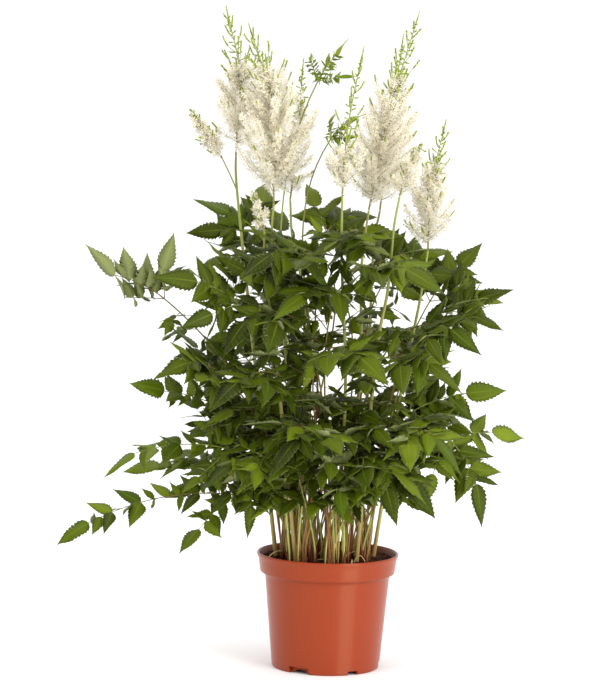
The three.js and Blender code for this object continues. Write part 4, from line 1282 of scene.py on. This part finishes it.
def notch_cutter():
    """Blocks that taper upwards, to cut the notches out of the pot's foot."""
    quads = ((0, 3, 2, 1), (4, 5, 6, 7), (0, 1, 5, 4), (1, 2, 6, 5), (2, 3, 7, 6), (3, 0, 4, 7))
    points, faces = [], []
    for index in range(NOTCH_COUNT):
        width, height = WIDE_NOTCH if index % 2 == 0 else NARROW_NOTCH
        half = width / 2
        out = level_way(math.radians(NOTCH_FIRST_ANGLE + 360 / NOTCH_COUNT * index))
        side = np.cross(UP, out)
        faces += [tuple(len(points) + corner for corner in quad) for quad in quads]
        for x in (BASE_RADIUS - NOTCH_DEPTH, BASE_RADIUS + NOTCH_DEPTH):
            for y, z in ((-half, -height), (half, -height), (half - 1, height), (1 - half, height)):
                points.append(out * x + side * y + UP * z)
    data = bpy.data.meshes.new("notches")
    data.from_pydata(np.array(points) * METRES, [], faces)
    return put_in_scene("notches", data)


def pot_material():
    n = material_nodes("pot_plastic")
    cloud = n.grain(9.0, 4.0, (1, 1, 0.35))
    speck = n.grain(420.0, 2.0)
    color = n.mix(n.spread(cloud, 0.3, 0.7), rgb(140, 47, 20), rgb(147, 51, 24))
    n.bump(n.math("ADD", n.math("MULTIPLY", speck, 0.5), cloud), 0.12, 0.0005)
    return n.finish(
        color, n.spread(cloud, 0.3, 0.7, 0.34, 0.38), Specular_IOR_Level=0.56,
        Specular_Tint=(1.0, 0.8, 0.5, 1.0), Anisotropic=1.0, Anisotropic_Rotation=0.25,
    )


def make_pot():
    shape = Shape("tone")
    shape.add(*turned_shape(pot_profile(), POT_SIDES))
    pot = make_piece("pot_fine", shape, [pot_material()], ["pot"])
    cutter = notch_cutter()
    cut = pot.modifiers.new("notches", "BOOLEAN")
    cut.object = cutter
    cut.operation = "DIFFERENCE"
    cut.solver = "EXACT"
    graph = bpy.context.evaluated_depsgraph_get()
    mesh = bpy.data.meshes.new_from_object(pot.evaluated_get(graph))
    pot.modifiers.clear()
    pot.data = mesh
    bpy.data.objects.remove(cutter)
    mesh.polygons.foreach_set("use_smooth", [True] * len(mesh.polygons))
    mesh.set_sharp_from_angle(angle=math.radians(POT_CREASE))


def soil_material():
    n = material_nodes("potting_soil")
    coarse, fine = n.grain(70.0, 6.0), n.grain(400.0, 4.0)
    color = n.ramp(coarse, (0.3, 0.55, 0.75), (rgb(30, 16, 10), rgb(62, 34, 22), rgb(96, 56, 36)))
    color = n.mix(n.number("tone"), color, rgb(122, 66, 36))
    n.bump(n.math("ADD", coarse, fine), 0.8, 0.0015)
    return n.finish(color, 0.95, Specular_IOR_Level=0.15)


def straw_material():
    n = material_nodes("straw")
    color = n.mix(n.number("tone"), rgb(206, 182, 120), rgb(170, 128, 76))
    return n.finish(n.mix(n.grain(200.0, 3.0), color, rgb(224, 206, 150)), 0.6, Specular_IOR_Level=0.3)


def soil_top(x, y):
    """Height of the soil's uneven top, which is even again at the pot's wall."""
    radius = math.hypot(x, y)
    crown = lerp(SOIL_CROWN, SOIL_EDGE, min(1, radius / SOIL_RADIUS))
    bumps = sum(height * noise.noise(Vector((x, y, 0)) * fineness) for height, fineness in SOIL_BUMPS)
    return crown + bumps * smooth_step(0, 1, (SOIL_RADIUS - radius) / SOIL_EVEN_EDGE + 0.3)


def soil_profile():
    outer = SOIL_RADIUS + 0.4
    bottom = RAISED_UNDERSIDE + POT_WALL + 1
    side = [
        (BASE_RADIUS - 5, bottom), (BASE_RADIUS - 2.6, bottom), (BODY_TOP_RADIUS - 2.5, COLLAR_FOOT - 4),
        (COLLAR_RADIUS - 4.6, COLLAR_FOOT + 3), (outer, SOIL_EDGE - 1),
    ]
    top = [(outer * (1 - ring / SOIL_RINGS), None) for ring in range(1, SOIL_RINGS)]
    return [(0, bottom), *side, *top, (0, None)]


def add_crumbs(shape, rng):
    """Crumbs strewn over the soil, few of them large."""
    radius = np.sqrt(rng.uniform(0, 1, CRUMBS)) * (SOIL_RADIUS - 2)
    angle = rng.uniform(0, 2 * math.pi, CRUMBS)
    x, y = radius * np.cos(angle), radius * np.sin(angle)
    sizes = rng.uniform(*CRUMB_SIZES, CRUMBS) + LARGE_CRUMB * rng.uniform(0, 1, CRUMBS) ** 6
    z = np.array([soil_top(a, b) for a, b in zip(x, y)]) + sizes * 0.2
    add_copies(
        shape, ROUND_BUD, np.stack([x, y, z], axis=1), rng.normal(0, 1, (CRUMBS, 3)), sizes,
        rng.uniform(0, 6, CRUMBS), tone=rng.uniform(0, 0.6, CRUMBS) ** 2,
    )


def add_straws(shape, rng):
    """Dry bits that lie on the soil, each in a low arch, well inside the pot."""
    for _ in range(STRAWS):
        angle, radius = rng.uniform(0, 2 * math.pi), rng.uniform(*STRAW_PLACES)
        turn, length = rng.uniform(0, 2 * math.pi), rng.uniform(*STRAW_LENGTHS)
        start = level_way(angle) * radius
        if radius > 50:
            length = min(length, STRAW_LIMIT - radius)
        end = start + level_way(turn) * length
        start[2], end[2] = soil_top(*start[:2]), soil_top(*end[:2])
        curve = bezier(start, (start + end) / 2 + UP * rng.uniform(*STRAW_RISES), end)
        add_stalk(shape, curve.points(12), STRAW_RADIUS, 0, rng.uniform(0, 1), 1, 5)


def make_soil():
    rng = np.random.default_rng(SOIL_LOOKS)
    shape = Shape("tone", "along")
    shape.add(*turned_shape(soil_profile(), SOIL_SIDES))
    add_crumbs(shape, rng)
    add_straws(shape, rng)
    materials = [soil_material(), straw_material()]
    make_piece("soil_fine", shape, materials, ["soil"], smooth=False)


# ---------- Floor and light ----------


def make_stage():
    mesh = bpy.data.meshes.new("floor")
    corners = [(x * FLOOR_HALF, y * FLOOR_HALF, 0) for x, y in ((-1, -1), (1, -1), (1, 1), (-1, 1))]
    mesh.from_pydata(corners, [], [(0, 1, 2, 3)])
    floor = put_in_scene("floor", mesh)
    n = material_nodes("floor")
    pale = n.mix(n.grain(2.0), (0.93, 0.93, 0.93, 1), (0.95, 0.95, 0.95, 1))
    mesh.materials.append(n.finish(pale, 0.8))


def add_light(name):
    """A soft area light that looks at its point."""
    place, aim, size, power, in_gloss = LIGHTS[name]
    data = bpy.data.lights.new(name, "AREA")
    data.shape = "RECTANGLE"
    data.size, data.size_y = size
    data.energy = power
    light = put_in_scene(name, data)
    light.location = place
    light.rotation_euler = (Vector(aim) - Vector(place)).to_track_quat("-Z", "Y").to_euler()
    light.visible_glossy = in_gloss


def make_light():
    """A white studio, bright overhead, behind, on the right and along the horizon, with two lights."""
    world = bpy.data.worlds.new("studio")
    bpy.context.scene.world = world
    n = Nodes(world)
    split = n.new("SeparateXYZ", {0: n.new("TexCoord").outputs["Generated"]})
    x, y, z = split.outputs
    strength = n.math("MAXIMUM", n.spread(x, -0.9, 0.7, 0.16, 0.8), n.spread(y, -0.1, 0.35, 0.3, 1.05))
    strength = n.math("MAXIMUM", strength, n.spread(z, 0.15, 0.8, 0.3, 1.6))
    strength = n.math("MAXIMUM", strength, n.spread(z, 0.05, 0.1, 1.05, 0.3))
    background = n.tree.nodes["Background"]
    n.put(background.inputs["Color"], (1, 1, 1, 1))
    n.put(background.inputs["Strength"], strength)
    for name in LIGHTS:
        add_light(name)
    bpy.context.scene.view_settings.view_transform = "Standard"


# ---------- The plant ----------

blade_look = blade_material()
petiole_look = petiole_material()
sheath_look = sheath_material()
stem_look = stalk_material("flower_stem", rgb(158, 122, 66), rgb(186, 190, 100), rgb(134, 150, 68))
plume_stalk_look = stalk_material("plume_stalk", rgb(134, 126, 64), rgb(150, 146, 80), rgb(140, 150, 62))
floret_look = floret_material()

make_pot()
make_soil()
for index, node in enumerate(STALKS):
    grow_stem(node, index, stem_look)
for index, node in enumerate(PLUMES):
    grow_plume(node, index, [floret_look, plume_stalk_look])
for index, node in enumerate(LEAVES):
    grow_leaf(node, index, [blade_look, petiole_look, sheath_look])
make_stage()
make_light()

bpy.context.view_layer.update()
